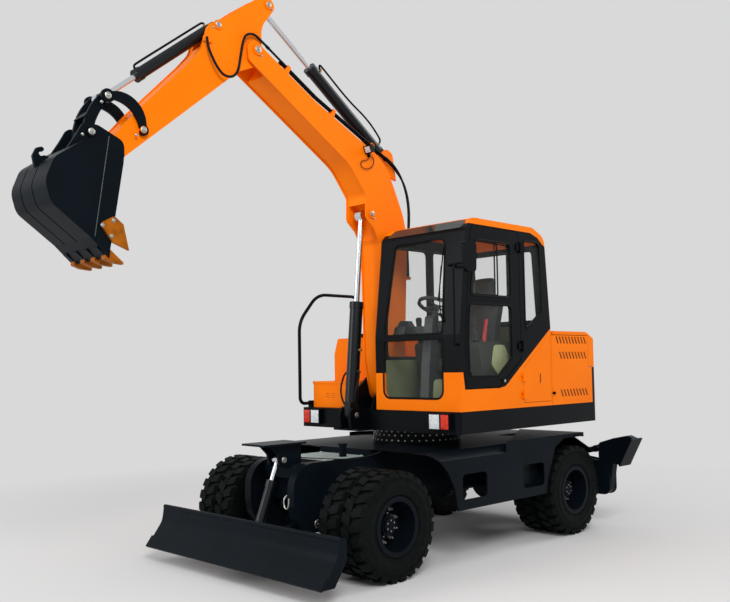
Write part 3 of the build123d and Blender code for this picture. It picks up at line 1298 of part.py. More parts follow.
wheels()
front_axle()
for side, sign in {"left": 1, "right": -1}.items():
    write(f"knuckle_{side}", knuckle(sign))
rear_axle()
frame()
blade()
blade_rams()
outriggers()
platform()
counterweight()
hood()
bonnet()
side_tanks()
cab()
cab_glass()
cab_door()
cab_inside()
rails_and_lamps()
boom()
arm()
links()
bucket()
attachment_rams()
boom_fittings()
hoses()
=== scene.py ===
import bmesh
import bpy
import math
from mathutils import Matrix, Vector


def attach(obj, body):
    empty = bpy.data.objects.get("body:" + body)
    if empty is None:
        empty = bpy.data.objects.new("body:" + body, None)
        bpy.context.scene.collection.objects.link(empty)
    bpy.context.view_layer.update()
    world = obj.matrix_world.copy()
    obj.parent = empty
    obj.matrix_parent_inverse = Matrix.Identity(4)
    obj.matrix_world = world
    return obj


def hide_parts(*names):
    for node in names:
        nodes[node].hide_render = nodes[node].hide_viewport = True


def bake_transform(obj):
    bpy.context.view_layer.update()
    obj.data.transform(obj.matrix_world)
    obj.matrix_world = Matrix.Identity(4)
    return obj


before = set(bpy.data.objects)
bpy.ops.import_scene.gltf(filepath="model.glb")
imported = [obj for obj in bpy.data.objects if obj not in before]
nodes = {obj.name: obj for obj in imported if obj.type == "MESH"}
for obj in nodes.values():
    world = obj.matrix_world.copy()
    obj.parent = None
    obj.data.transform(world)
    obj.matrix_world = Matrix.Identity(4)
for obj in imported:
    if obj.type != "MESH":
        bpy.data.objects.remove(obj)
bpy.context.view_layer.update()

scene = bpy.context.scene
mm = 0.001
print("frame loaded:", len(nodes), "nodes")


# the camera, from the photograph's vanishing lines
camera = {
    "place": (6.330, 5.721, 1.692),
    "yaw": -134.77,      # degrees from +X
    "pitch": 3.211,
    "roll": -0.951,
    "lens": 42.403,      # mm
    "sensor": 36,        # mm
    "farClip": 200,      # m
    "shiftX": -0.0038,
    "shiftY": 0.0224,
}


def makeCamera(c):
    yaw, pitch, roll = (math.radians(c[k]) for k in ("yaw", "pitch", "roll"))
    forward = Vector((math.cos(yaw) * math.cos(pitch), math.sin(yaw) * math.cos(pitch), math.sin(pitch)))
    right = forward.cross(Vector((0, 0, 1))).normalized()
    up = right.cross(forward)
    tiltedRight = right * math.cos(roll) + up * math.sin(roll)
    tiltedUp = up * math.cos(roll) - right * math.sin(roll)
    data = bpy.data.cameras.new("viewCamera")
    data.lens, data.sensor_width = c["lens"], c["sensor"]
    data.shift_x, data.shift_y = c["shiftX"], c["shiftY"]
    data.clip_end = c["farClip"]
    cam = bpy.data.objects.new("viewCamera", data)
    turn = Matrix((tiltedRight, tiltedUp, -forward)).transposed().to_4x4()
    cam.matrix_world = Matrix.Translation(Vector(c["place"])) @ turn
    scene.collection.objects.link(cam)
    scene.camera = cam


makeCamera(camera)
print("camera set")


# materials
def toLinear(hexColour):
    parts = [int(hexColour[i:i + 2], 16) / 255 for i in (1, 3, 5)]
    return [c / 12.92 if c <= 0.04045 else ((c + 0.055) / 1.055) ** 2.4 for c in parts] + [1.0]


def node(tree, kind, settings=None, links=None, **attributes):
    made = tree.nodes.new(kind)
    for key, value in attributes.items():
        setattr(made, key, value)
    for key, value in (settings or {}).items():
        made.inputs[key].default_value = value
    for key, source in (links or {}).items():
        tree.links.new(source, made.inputs[key])
    return made


def startMaterial(name, **shaderSettings):
    made = bpy.data.materials.new(name)
    made.use_nodes = True
    tree = made.node_tree
    shader = tree.nodes["Principled BSDF"]
    for key, value in shaderSettings.items():
        shader.inputs[key.replace("_", " ")].default_value = value
    spot = node(tree, "ShaderNodeNewGeometry").outputs["Position"]      # m, so a scale is 1000 / mm
    return made, tree, shader, spot


def rampStops(ramp, stops):
    for element, (place, colour) in zip(ramp.color_ramp.elements, stops):
        element.position = place
        element.color = toLinear(colour)


# two-pack enamel sprayed on steel plate: the eye gets a clear gloss, a slow drift of tone over each panel,
# the orange peel of the spray, and road dust that thins out above the wheels
sprayCoat = {"coatRoughness": 0.08, "dustFrom": 0.1, "dustTo": 1.0,     # m above the ground
             "peelStrength": 0.05, "peelDepth": 0.0008}                 # m


def sprayedEnamel(name, p):
    made, tree, shader, spot = startMaterial(
        name, Roughness=p["roughness"], Coat_Weight=p["coat"], Coat_Roughness=sprayCoat["coatRoughness"],
        Specular_IOR_Level=p["specular"])
    drift = node(tree, "ShaderNodeTexNoise", {"Scale": 1000 / p["driftMm"], "Detail": 4, "Roughness": 0.5},
                 {"Vector": spot})
    tone = node(tree, "ShaderNodeValToRGB", links={"Fac": drift.outputs["Fac"]})
    rampStops(tone, [(0.3, p["deep"]), (0.65, p["colour"])])
    grime = node(tree, "ShaderNodeTexNoise", {"Scale": 1000 / p["dustMm"], "Detail": 8, "Roughness": 0.7},
                 {"Vector": spot})
    height = node(tree, "ShaderNodeSeparateXYZ", links={"Vector": spot})
    low = node(tree, "ShaderNodeMapRange",
               {"From Min": sprayCoat["dustFrom"], "From Max": sprayCoat["dustTo"],
                "To Min": p["dustShare"], "To Max": 0.0}, {"Value": height.outputs["Z"]})
    amount = node(tree, "ShaderNodeMath", {}, {0: grime.outputs["Fac"], 1: low.outputs["Result"]},
                  operation="MULTIPLY")
    dusty = node(tree, "ShaderNodeMix", {7: toLinear(p["dust"])},
                 {0: amount.outputs[0], 6: tone.outputs["Color"]}, data_type="RGBA")
    tree.links.new(dusty.outputs[2], shader.inputs["Base Color"])
    # real peel is 2 mm across, drawn at 5 or 6 mm so that it shows at this distance
    peel = node(tree, "ShaderNodeTexNoise", {"Scale": 1000 / p["peelMm"], "Detail": 2}, {"Vector": spot})
    bump = node(tree, "ShaderNodeBump",
                {"Strength": sprayCoat["peelStrength"], "Distance": sprayCoat["peelDepth"]},
                {"Height": peel.outputs["Fac"]})
    tree.links.new(bump.outputs["Normal"], shader.inputs["Normal"])
    return made


# ramEnamel is on the rams' barrels, the pale grey enamel on the deck's cover sheet, ochreEnamel on the
# bucket's teeth and redEnamel on the lock lever; the grey sheet's pale tone is partly painted reflection of
# the sky on the deck top
enamels = {
    "orangeEnamel": {"colour": "#FC7C02", "deep": "#F87600", "dust": "#B07838", "dustShare": 0.25,
                     "roughness": 0.36, "coat": 0.02, "specular": 0.07, "driftMm": 600, "dustMm": 110,
                     "peelMm": 6},
    "slateEnamel": {"colour": "#0A1219", "deep": "#070D12", "dust": "#22262A", "dustShare": 0.2,
                    "roughness": 0.36, "coat": 0.01, "specular": 0.05, "driftMm": 500, "dustMm": 90,
                    "peelMm": 6},
    "blackTrim": {"colour": "#080C10", "deep": "#05080A", "dust": "#33302C", "dustShare": 0.1,
                  "roughness": 0.3, "coat": 0.02, "specular": 0.07, "driftMm": 400, "dustMm": 90,
                  "peelMm": 5},
    "ramEnamel": {"colour": "#0B1116", "deep": "#070B0F", "dust": "#33302C", "dustShare": 0.1,
                  "roughness": 0.3, "coat": 0.1, "specular": 0.2, "driftMm": 300, "dustMm": 90,
                  "peelMm": 5},
    # painted reflection, partly: the deck sheet's pale grey also stands in for the sky reflected in the
    # dark deck top
    "greyEnamelAndSkyReflection": {"colour": "#A3B4B1", "deep": "#8E9F9C", "dust": "#77726A", "dustShare": 0.4,
                   "roughness": 0.4, "coat": 0.05, "specular": 0.2, "driftMm": 200, "dustMm": 60,
                   "peelMm": 6},
    "ochreEnamel": {"colour": "#A85C0A", "deep": "#824606", "dust": "#5E4326", "dustShare": 0.1,
                    "roughness": 0.5, "coat": 0.02, "specular": 0.08, "driftMm": 60, "dustMm": 25,
                    "peelMm": 6},
    "redEnamel": {"colour": "#C4161C", "deep": "#A80F14", "dust": "#5E2A26", "dustShare": 0.0,
                  "roughness": 0.35, "coat": 0.3, "specular": 0.5, "driftMm": 60, "dustMm": 30,
                  "peelMm": 5},
}
paints = {name: sprayedEnamel(name, p) for name, p in enamels.items()}
orangeEnamel, slateEnamel, blackTrim = (paints[k] for k in ("orangeEnamel", "slateEnamel", "blackTrim"))


# grey cast iron, sand-cast, for the engine: a dull skin with coarse sand grain and darker hollows. The
# bucket's weld beads take it too, as their crust is as dull and dark
def sandCastIron(name, p):
    made, tree, shader, spot = startMaterial(name, Roughness=0.7, Metallic=0.35)
    cloud = node(tree, "ShaderNodeTexNoise", {"Scale": 1000 / p["stainMm"], "Detail": 6}, {"Vector": spot})
    tone = node(tree, "ShaderNodeValToRGB", links={"Fac": cloud.outputs["Fac"]})
    rampStops(tone, [(0.3, p["deep"]), (0.7, p["colour"])])
    tree.links.new(tone.outputs["Color"], shader.inputs["Base Color"])
    grain = node(tree, "ShaderNodeTexNoise", {"Scale": 1000 / p["grainMm"], "Detail": 3}, {"Vector": spot})
    bump = node(tree, "ShaderNodeBump", {"Strength": 0.3, "Distance": 0.001},
                {"Height": grain.outputs["Fac"]})
    tree.links.new(bump.outputs["Normal"], shader.inputs["Normal"])
    return made


castIron = sandCastIron("castIron", {"colour": "#5A5F60", "deep": "#3E4344", "stainMm": 80, "grainMm": 4})


# carbon-black rubber, moulded hot: no gloss, a greyish bloom, and pale dust held in the grain
def mouldedRubber(name, p):
    made, tree, shader, spot = startMaterial(name, Roughness=p["roughness"], Specular_IOR_Level=0.06)
    bloom = node(tree, "ShaderNodeTexNoise", {"Scale": 1000 / p["bloomMm"], "Detail": 8, "Roughness": 0.65},
                 {"Vector": spot})
    tone = node(tree, "ShaderNodeValToRGB", links={"Fac": bloom.outputs["Fac"]})
    rampStops(tone, [(0.35, p["colour"]), (0.8, p["dust"])])
    tree.links.new(tone.outputs["Color"], shader.inputs["Base Color"])
    grain = node(tree, "ShaderNodeTexNoise", {"Scale": 1000 / p["grainMm"], "Detail": 4}, {"Vector": spot})
    bump = node(tree, "ShaderNodeBump", {"Strength": 0.25, "Distance": 0.0012},
                {"Height": grain.outputs["Fac"]})
    tree.links.new(bump.outputs["Normal"], shader.inputs["Normal"])
    return made


tyreRubber = mouldedRubber("tyreRubber", {"colour": "#060909", "dust": "#121616", "roughness": 0.6,
                                          "bloomMm": 70, "grainMm": 6})
hoseRubber = mouldedRubber("hoseRubber", {"colour": "#101214", "dust": "#202224", "roughness": 0.5,
                                          "bloomMm": 40, "grainMm": 3})
sealRubber = mouldedRubber("sealRubber", {"colour": "#0B0D0E", "dust": "#17191A", "roughness": 0.6,
                                          "bloomMm": 40, "grainMm": 3})


# plated steel: hard chrome on the rods, zinc on the pins and nuts, yellow zinc on the hose ports. The eye
# gets a bright reflection broken up by fine turning marks
def turnedMetal(name, p):
    made, tree, shader, spot = startMaterial(name, Metallic=1.0, Base_Color=toLinear(p["colour"]))
    marks = node(tree, "ShaderNodeTexNoise", {"Scale": 1000 / p["marksMm"], "Detail": 3}, {"Vector": spot})
    spread = node(tree, "ShaderNodeMapRange",
                  {"To Min": p["roughness"] * 0.7, "To Max": p["roughness"] * 1.5},
                  {"Value": marks.outputs["Fac"]})
    tree.links.new(spread.outputs["Result"], shader.inputs["Roughness"])
    return made


hardChrome = turnedMetal("hardChrome", {"colour": "#D5DADE", "roughness": 0.14, "marksMm": 8})
zincPlate = turnedMetal("zincPlate", {"colour": "#AEAFA8", "roughness": 0.36, "marksMm": 5})
yellowZinc = turnedMetal("yellowZinc", {"colour": "#B99A58", "roughness": 0.38, "marksMm": 5})


# toughened float glass: clear with a faint grey-green body in the windows, dark tinted in the roof, and a
# sharp reflection on both
def floatGlass(name, p):
    made, tree, shader, spot = startMaterial(name, Roughness=0.02, IOR=1.52, Alpha=p["alpha"])
    film = node(tree, "ShaderNodeTexNoise", {"Scale": 1000 / p["filmMm"], "Detail": 3}, {"Vector": spot})
    tint = node(tree, "ShaderNodeValToRGB", links={"Fac": film.outputs["Fac"]})
    rampStops(tint, [(0.3, p["tint"]), (0.7, p["haze"])])
    tree.links.new(tint.outputs["Color"], shader.inputs["Base Color"])
    return made


windowGlass = floatGlass("windowGlass",
                         {"tint": "#69736F", "haze": "#7C8682", "alpha": 0.05, "filmMm": 300})
roofGlass = floatGlass("roofGlass", {"tint": "#2C3331", "haze": "#3C4442", "alpha": 0.85, "filmMm": 300})


# injection-moulded plastic: soft sheen on a fine leather-like grain
def mouldedPlastic(name, p):
    made, tree, shader, spot = startMaterial(name, Roughness=p["roughness"])
    cloud = node(tree, "ShaderNodeTexNoise", {"Scale": 1000 / p["cloudMm"], "Detail": 4}, {"Vector": spot})
    tone = node(tree, "ShaderNodeValToRGB", links={"Fac": cloud.outputs["Fac"]})
    rampStops(tone, [(0.3, p["deep"]), (0.7, p["colour"])])
    tree.links.new(tone.outputs["Color"], shader.inputs["Base Color"])
    grain = node(tree, "ShaderNodeTexVoronoi", {"Scale": 1000 / p["grainMm"]}, {"Vector": spot})
    bump = node(tree, "ShaderNodeBump", {"Strength": 0.2, "Distance": 0.0006},
                {"Height": grain.outputs["Distance"]})
    tree.links.new(bump.outputs["Normal"], shader.inputs["Normal"])
    return made


plastics = {
    "consolePlastic": {"colour": "#2E312A", "deep": "#242620", "roughness": 0.55, "cloudMm": 90,
                       "grainMm": 4},
    "olivePanel": {"colour": "#727A58", "deep": "#626A4A", "roughness": 0.6, "cloudMm": 120, "grainMm": 4},
    "paleLining": {"colour": "#AEB588", "deep": "#9AA175", "roughness": 0.55, "cloudMm": 120, "grainMm": 4},
    "seatVinyl": {"colour": "#2A2C2E", "deep": "#1C1E20", "roughness": 0.5, "cloudMm": 80, "grainMm": 3},
    "blueRubber": {"colour": "#2A2C8A", "deep": "#1F2170", "roughness": 0.6, "cloudMm": 60, "grainMm": 4},
    "clearLens": {"colour": "#E4E8EA", "deep": "#BFC6CA", "roughness": 0.15, "cloudMm": 25, "grainMm": 9},
    "redLens": {"colour": "#E03A12", "deep": "#B81E0C", "roughness": 0.18, "cloudMm": 25, "grainMm": 9},
    # slotShade is painted shade: near-black for the shade inside the louvres, the vent holes and the key
    # slot
    "slotShade": {"colour": "#0A0A0A", "deep": "#060606", "roughness": 0.9, "cloudMm": 40, "grainMm": 5},
}
moulded = {name: mouldedPlastic(name, p) for name, p in plastics.items()}
print("enamel, iron, rubber, metal, glass and plastic made")


# the finish of each CAD node
finishes = {
    "frame": slateEnamel, "front_axle": slateEnamel, "rear_axle_and_shaft": slateEnamel,
    "outrigger_channel": slateEnamel, "knuckle_left": slateEnamel, "knuckle_right": slateEnamel,
    "blade": slateEnamel, "platform": blackTrim, "counterweight": blackTrim,
    "hood_sides": orangeEnamel, "engine": castIron, "cab_skirt": orangeEnamel, "cab_posts": blackTrim,
    "cab_roof": orangeEnamel, "cab_glass": windowGlass, "door_glass": windowGlass, "cab_mirror": blackTrim,
    "seat": moulded["seatVinyl"], "consoles": moulded["consolePlastic"],
    "steering_column": moulded["seatVinyl"], "handrail": blackTrim,
    "front_lamps": blackTrim, "fuel_tank": orangeEnamel, "tool_box": orangeEnamel,
    "tool_box_lid": orangeEnamel, "cab_door": blackTrim, "access_door": orangeEnamel,
    "bonnet": orangeEnamel, "boom": orangeEnamel, "arm": orangeEnamel, "guide_links": slateEnamel,
    "bucket_link": slateEnamel, "bucket": slateEnamel, "bucket_teeth": paints["ochreEnamel"],
    "boom_fittings": blackTrim, "boom_hoses": hoseRubber, "arm_hose": hoseRubber,
}
families = {"tyres_": tyreRubber, "rims_": slateEnamel, "_ram_rod": hardChrome,
            "_ram_barrel": paints["ramEnamel"], "outrigger_": slateEnamel}


def finishOf(name):
    if name in finishes:
        return finishes[name]
    return next(m for part, m in families.items() if part in name)


# edges: mm of softening on the CAD nodes, steps in it, and degrees from which an edge is softened or kept
# sharp
edges = {"cadWidth": 3, "segments": 2, "softFrom": 40, "sharpFrom": 35}


def soften(piece, width):
    softened = piece.modifiers.new("edgeSoftening", "BEVEL")
    softened.width, softened.segments, softened.limit_method = width * mm, edges["segments"], "ANGLE"
    softened.angle_limit = math.radians(edges["softFrom"])
    return softened


def smoothFaces(mesh):
    for face in mesh.polygons:
        face.use_smooth = True


for name, piece in nodes.items():
    piece.data.materials.clear()
    piece.data.materials.append(finishOf(name))
    soften(piece, edges["cadWidth"]).harden_normals = True
    smoothFaces(piece.data)
print("CAD nodes finished")


# shapes, in mm in the CAD's frame: an outline of (a, b, corner radius) with its corners rounded
def rounded(corners, steps=6):
    points = []
    for i, (a, b, radius) in enumerate(corners):
        here = Vector((a, b))
        after = Vector(corners[(i + 1) % len(corners)][:2])
        arrive = (here - Vector(corners[i - 1][:2])).normalized()
        leave = (after - here).normalized()
        cross = arrive.x * leave.y - arrive.y * leave.x
        turn = math.atan2(cross, arrive.dot(leave))
        if radius < 1 or abs(turn) < 0.02:       # left sharp, or hardly a corner
            points.append(here)
            continue
        start = here - arrive * radius * math.tan(abs(turn) / 2)
        side = 1 if turn > 0 else -1
        centre = start + Vector((-arrive.y, arrive.x)) * side * radius
        for k in range(steps + 1):
            spoke = (start - centre).to_3d()
            spoke.rotate(Matrix.Rotation(turn * k / steps, 3, "Z"))
            points.append(centre + spoke.to_2d())
    return points


# a strip of one section that runs round a closed outline; place turns (a, b, height) into x, y, z
def edging(form, outline, place, section):
    area = sum(p.x * q.y - q.x * p.y for p, q in zip(outline, outline[1:] + outline[:1]))
    inSign = 1 if area > 0 else -1
    rings = []
    for i, point in enumerate(outline):
        arrive = (point - outline[i - 1]).normalized()
        leave = (outline[(i + 1) % len(outline)] - point).normalized()
        first = Vector((-arrive.y, arrive.x)) * inSign
        second = Vector((-leave.y, leave.x)) * inSign
        inward = (first + second) / (1 + first.dot(second))
        rings.append([form.verts.new(Vector(place(*(point + inward * inset), height)) * mm)
                      for inset, height in section])
    for now, after in zip(rings, rings[1:] + rings[:1]):
        for k in range(len(section)):
            m = (k + 1) % len(section)
            form.faces.new((now[k], now[m], after[m], after[k]))


# a plate of any outline between two heights
def plate(form, outline, place, low, high):
    bottom = [form.verts.new(Vector(place(p[0], p[1], low)) * mm) for p in outline]
    top = [form.verts.new(Vector(place(p[0], p[1], high)) * mm) for p in outline]
    form.faces.new(bottom)
    form.faces.new(top[::-1])
    for i in range(len(outline)):
        form.faces.new((bottom[i - 1], bottom[i], top[i], top[i - 1]))


# directions evenly round a circle, turned by a share of one step
def spokes(count, share=0):
    return [(math.cos(t), math.sin(t)) for t in (2 * math.pi * (k + share) / count for k in range(count))]


# faces from each ring of points to the next, closed at both ends
def skin(form, rings):
    for now, after in zip(rings, rings[1:]):
        for k in range(len(now)):
            form.faces.new((now[k - 1], now[k], after[k], after[k - 1]))
    form.faces.new(rings[0])
    form.faces.new(rings[-1][::-1])


# a lathe form: (distance along the axis, radius) from its start, closed at both ends
def turned(form, start, axis, profile, sides=24):
    axis = Vector(axis).normalized()
    side = axis.orthogonal().normalized()
    other = axis.cross(side)
    rings = []
    for along, radius in profile:
        centre = Vector(start) + axis * along
        rings.append([form.verts.new((centre + (side * c + other * s) * radius) * mm)
                      for c, s in spokes(sides)])
    skin(form, rings)


# soft is the mm of softening on its edges
def makePiece(name, form, finish, body, soft=0):
    bmesh.ops.recalc_face_normals(form, faces=form.faces)
    mesh = bpy.data.meshes.new(name)
    form.to_mesh(mesh)
    form.free()
    mesh.materials.append(finish)
    smoothFaces(mesh)
    mesh.set_sharp_from_angle(angle=math.radians(edges["sharpFrom"]))
    piece = bpy.data.objects.new(name, mesh)
    scene.collection.objects.link(piece)
    if soft:
        soften(piece, soft)
    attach(piece, body)
    return piece


def platePiece(name, corners, place, low, high, finish, body, slot, soft=0):
    form = bmesh.new()
    plate(form, rounded(corners), place, low, high)
    return makePiece(name, form, finish, body, soft)


def bentCurve(name, points, radius, finish):
    data = bpy.data.curves.new(name, "CURVE")
    data.dimensions = "3D"
    spline = data.splines.new("NURBS")
    spline.points.add(len(points) - 1)
    for knot, point in zip(spline.points, points):
        knot.co = (*(c * mm for c in point), 1)
    spline.order_u = 3
    spline.use_endpoint_u = True
    spline.resolution_u = 8
    data.bevel_depth, data.bevel_resolution = radius * mm, 4
    data.use_fill_caps = True
    data.materials.append(finish)
    curve = bpy.data.objects.new(name, data)
    scene.collection.objects.link(curve)
    return curve


# hydraulic hoses, rubber over wire braid: points in mm from the fitting that each one leaves, real length,
# the bodies that carry it, the CAD nodes it stands for, and where it bends from one body to the next
hoseRuns = {
    "boomHoseNear": {
        "points": [(279, -64, 3716), (226, -64, 3692), (128, -64, 3612), (54, -64, 3502), (8, -64, 3372),
                   (-10, -64, 3230), (-4, -64, 3090), (8, -64, 2950), (18, -64, 2812), (10, -64, 2688),
                   (10, -64, 2570)],
        "radius": 11, "metres": 1.25, "bodies": ("boom",), "stands": ("boom_hoses",)},
    "boomHoseFar": {
        "points": [(279, -92, 3716), (226, -92, 3692), (134, -92, 3630), (36, -92, 3540), (-28, -92, 3405),
                   (-52, -92, 3252), (-46, -92, 3096), (-26, -92, 2946), (-6, -92, 2812), (10, -92, 2688),
                   (10, -92, 2570)],
        "radius": 11, "metres": 1.28, "bodies": ("boom",), "stands": ("boom_hoses",)},
    "elbowHose": {
        "points": [(1775, -64, 4473), (1824, -64, 4500), (1912, -52, 4541), (2008, -38, 4513),
                   (2050, -30, 4440), (2080, -27, 4290), (2105, -26, 4160), (2168, -26, 4097),
                   (2258, -26, 4097), (2321, -28, 4160), (2364, -33, 4235), (2396, -42, 4315),
                   (2400, -46, 4388)],
        "radius": 11, "metres": 1.11, "bodies": ("boom", "arm"), "stands": ("arm_hose",),
        "blend": ((1840, -40, 4300), (2410, -40, 4300))},
    "ramHoseLeft": {
        "points": [(672, -266, 1637), (690, -286, 1625), (714, -296, 1560), (742, -292, 1490),
                   (752, -280, 1420), (735, -268, 1350), (700, -262, 1300), (660, -258, 1281)],
        "radius": 9, "metres": 0.42, "bodies": ("boom_ram_barrel", "upper"), "stands": (),
        "blend": ((690, -280, 1600), (740, -285, 1400))},
    "ramHoseRight": {
        "points": [(672, -114, 1637), (688, -94, 1625), (706, -86, 1560), (730, -88, 1490),
                   (744, -98, 1420), (735, -108, 1350), (700, -112, 1300), (660, -116, 1281)],
        "radius": 9, "metres": 0.42, "bodies": ("boom_ram_barrel", "upper"), "stands": (),
        "blend": ((690, -90, 1600), (740, -95, 1400))},
}


def meshOf(thing):
    graph = bpy.context.evaluated_depsgraph_get()
    graph.update()
    return bpy.data.meshes.new_from_object(thing.evaluated_get(graph))


# a hose that crosses a joint becomes a mesh tube; one that stays on one body rides it as a curve
def layHose(name, run):
    curve = bentCurve(name, run["points"], run["radius"], hoseRubber)
    hose = curve
    if "blend" in run:
        curve.data.bevel_depth = 0
        [tuple(v.co) for v in meshOf(curve).vertices]
        curve.data.bevel_depth = run["radius"] * mm
        mesh = meshOf(curve)
        bpy.data.objects.remove(curve)
        smoothFaces(mesh)
        hose = bpy.data.objects.new(name, mesh)
        scene.collection.objects.link(hose)
        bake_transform(hose)
    else:
        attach(hose, run["bodies"][0])
    if run["stands"]:
        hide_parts(*run["stands"])


for name, run in hoseRuns.items():
    layHose(name, run)
print("hoses laid")


# rigid pipes and cables that something holds all the way
pipeRuns = {
    "bucketRamPipe": {"points": [(2955, -190, 4010), (2992, -190, 4040), (2945, -190, 4082),
                                 (2700, -190, 4280), (2400, -190, 4523), (2345, -190, 4566),
                                 (2318, -190, 4540), (2330, -190, 4510)],
                      "radius": 9, "body": "bucket_ram_barrel", "finish": blackTrim, "slot": "dark_paint"},
    "armRamPipe": {"points": [(1075, -160, 4452), (1095, -150, 4502), (1050, -145, 4472), (735, -140, 4232),
                              (480, -140, 4098), (330, -140, 3960), (292, -140, 3905), (318, -155, 3868)],
                   "radius": 9, "body": "arm_ram_barrel", "finish": blackTrim, "slot": "dark_paint"},
    "deckCable": {"points": [(1080, 560, 960), (1250, 500, 906), (1400, 260, 906), (1480, -40, 906),
                             (1400, -300, 906), (1240, -420, 906)],
                  "radius": 5, "body": "chassis", "finish": hoseRubber, "slot": "hose_rubber"},
    "lampCable": {"points": [(566, -36, 3715), (560, -34, 3690), (600, -34, 3650), (660, -34, 3640),
                             (690, -34, 3600), (640, -34, 3560), (560, -34, 3575), (510, -34, 3620),
                             (500, -34, 3670), (520, -36, 3700)],
                  "radius": 4, "body": "boom", "finish": hoseRubber, "slot": "hose_rubber"},
    "antennaRod": {"points": [(-715, 860, 2832), (-760, 866, 2870), (-800, 872, 2905)],
                   "radius": 3, "body": "upper", "finish": blackTrim, "slot": "dark_paint"},
    "grabRail": {"points": [(560, 1000, 2540), (618, 1018, 2555), (626, 1024, 2500), (626, 1024, 2100),
                            (626, 1020, 1900), (618, 1014, 1850), (572, 1000, 1862)],
                 "radius": 10, "body": "upper", "finish": blackTrim, "slot": "dark_paint"},
    "wiperArm": {"points": [(556, 846, 2075), (580, 838, 2085), (572, 815, 2200), (545, 800, 2420),
                            (520, 797, 2560)],
                 "radius": 5, "body": "upper", "finish": blackTrim, "slot": "dark_paint"},
    "axleHook": {"points": [(1870, 262, 655), (1900, 262, 640), (1900, 262, 575), (1900, 290, 545),
                            (1900, 325, 575), (1900, 325, 640)],
                 "radius": 7, "body": "chassis", "finish": zincPlate, "slot": "polished_rod"},
}


def addPipes(runs):
    for name, run in runs.items():
        pipe = bentCurve(name, run["points"], run["radius"], run["finish"])
        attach(pipe, run["body"])


addPipes(pipeRuns)
print("pipes and cables bent")


# places on flat faces, for plates and edging: (a, b, height) to x, y, z
def onLeft(y):
    return lambda a, b, h: (a, y + h, b)


def onRight(y):
    return lambda a, b, h: (a, y - h, b)


# the same spot on the machine's left, sign 1, or right, sign -1
def onFlank(sign, y):
    return lambda a, b, h: (a, sign * (y + h), b)


def onFront(x):
    return lambda a, b, h: (x + h, a, b)


def onTop(z):
    return lambda a, b, h: (a, b, z + h)


# the upper windscreen and the rear window lean: x changes evenly with height
def onLean(foot, head, sign):
    slope = (head[0] - foot[0], head[1] - foot[1])
    return lambda a, b, h: (foot[0] + slope[0] * (b - foot[1]) / slope[1] + sign * h, a, b)


# a flat board that leans: where it starts, and its three directions across, up and out
def onBoard(start, across, up, out):
    return lambda a, b, h: tuple(p + q * a + r * b + s * h for p, q, r, s in zip(start, across, up, out))


# extruded rubber seals around each pane, with a rounded lip
cab = {
    "side": 1033, "right": 14, "front": 572, "windscreenFoot": (572, 1950), "windscreenHead": (462, 2880),
    "rearFoot": (-822, 2025), "rearHead": (-752, 2880),
    "seal": [(-4, -2), (-4, 3), (0, 5), (10, 5), (14, 2), (14, -2)],
    "doorUpper": [(418, 2286, 40), (-195, 2286, 40), (-195, 2800, 40), (345, 2800, 60)],
    "doorLower": [(455, 1575, 60), (12, 1575, 40), (-195, 1735, 40), (-195, 2226, 40), (430, 2226, 40),
                  (455, 1950, 0)],
    "quarter": [(-400, 1990, 30), (-690, 2175, 30), (-672, 2850, 60), (-400, 2850, 40)],
    "rightFront": [(440, 1760, 60), (-180, 1760, 60), (-180, 2830, 60), (350, 2830, 60), (440, 2100, 0)],
    "rightRear": [(-240, 2060, 60), (-690, 2060, 60), (-672, 2830, 60), (-240, 2830, 60)],
    "frontLower": [(110, 1385, 80), (840, 1385, 80), (840, 1922, 20), (110, 1922, 20)],
    "frontUpper": [(110, 1958, 20), (840, 1958, 20), (815, 2820, 70), (180, 2820, 70)],
    "rear": [(150, 2100, 60), (900, 2100, 60), (900, 2800, 60), (150, 2800, 60)],
}


def addSeals(c):
    doorSeals, cabSeals = bmesh.new(), bmesh.new()
    for key in ("doorUpper", "doorLower"):
        edging(doorSeals, rounded(c[key]), onLeft(c["side"]), c["seal"])
    windscreen = onLean(c["windscreenFoot"], c["windscreenHead"], 1)
    rear = onLean(c["rearFoot"], c["rearHead"], -1)
    for key, place in (("quarter", onLeft(c["side"])), ("rightFront", onRight(c["right"])),
                       ("rightRear", onRight(c["right"])), ("frontLower", onFront(c["front"])),
                       ("frontUpper", windscreen), ("rear", rear)):
        edging(cabSeals, rounded(c[key]), place, c["seal"])
    makePiece("doorSeals", doorSeals, sealRubber, "cab_door")
    makePiece("cabSeals", cabSeals, sealRubber, "upper")


addSeals(cab)


# the door's upper window is two sliding panes in thin frames, one behind the other
sliders = {"frame": [(0, 0), (0, 8), (14, 8), (14, 0)], "outerY": 1019, "innerY": 1000,
           "front": [(404, 2300, 30), (-8, 2300, 30), (-8, 2786, 30), (338, 2786, 50)],
           "rear": [(22, 2300, 30), (-181, 2300, 30), (-181, 2786, 30), (22, 2786, 30)]}


def addSliders(s):
    frames = bmesh.new()
    edging(frames, rounded(s["front"]), onLeft(s["outerY"]), s["frame"])
    edging(frames, rounded(s["rear"]), onLeft(s["innerY"]), s["frame"])
    makePiece("sliderFrames", frames, blackTrim, "cab_door", soft=1)


addSliders(sliders)


# the door's pull and lock, the hatch's raised plate and its key slot, drawn as a dark plate of painted
# shade, and the cover's knob
handles = {
    "doorPull": [(-120, 1516, 12), (-10, 1528, 12), (-10, 1552, 12), (-120, 1540, 12)],
    "pullDepth": (-2, 9), "lock": (-47, 1533), "lockProud": 8,
    "lockSteps": [(0, 13), (7, 13), (10, 10), (11, 5)],
    "hatchSlotShade": [(-632, 1500, 5), (-618, 1500, 5), (-618, 1590, 5), (-632, 1590, 5)], "slotDepth": (0, 4),
    "hatchPlate": [(-650, 1480, 10), (-600, 1480, 10), (-600, 1610, 10), (-650, 1610, 10)],
    "plateDepth": (-2, 3), "knob": (-835, 1397), "knobProud": -2,
    "knobSteps": [(0, 7), (9, 7), (11, 14), (22, 16), (30, 12), (33, 6)],
}


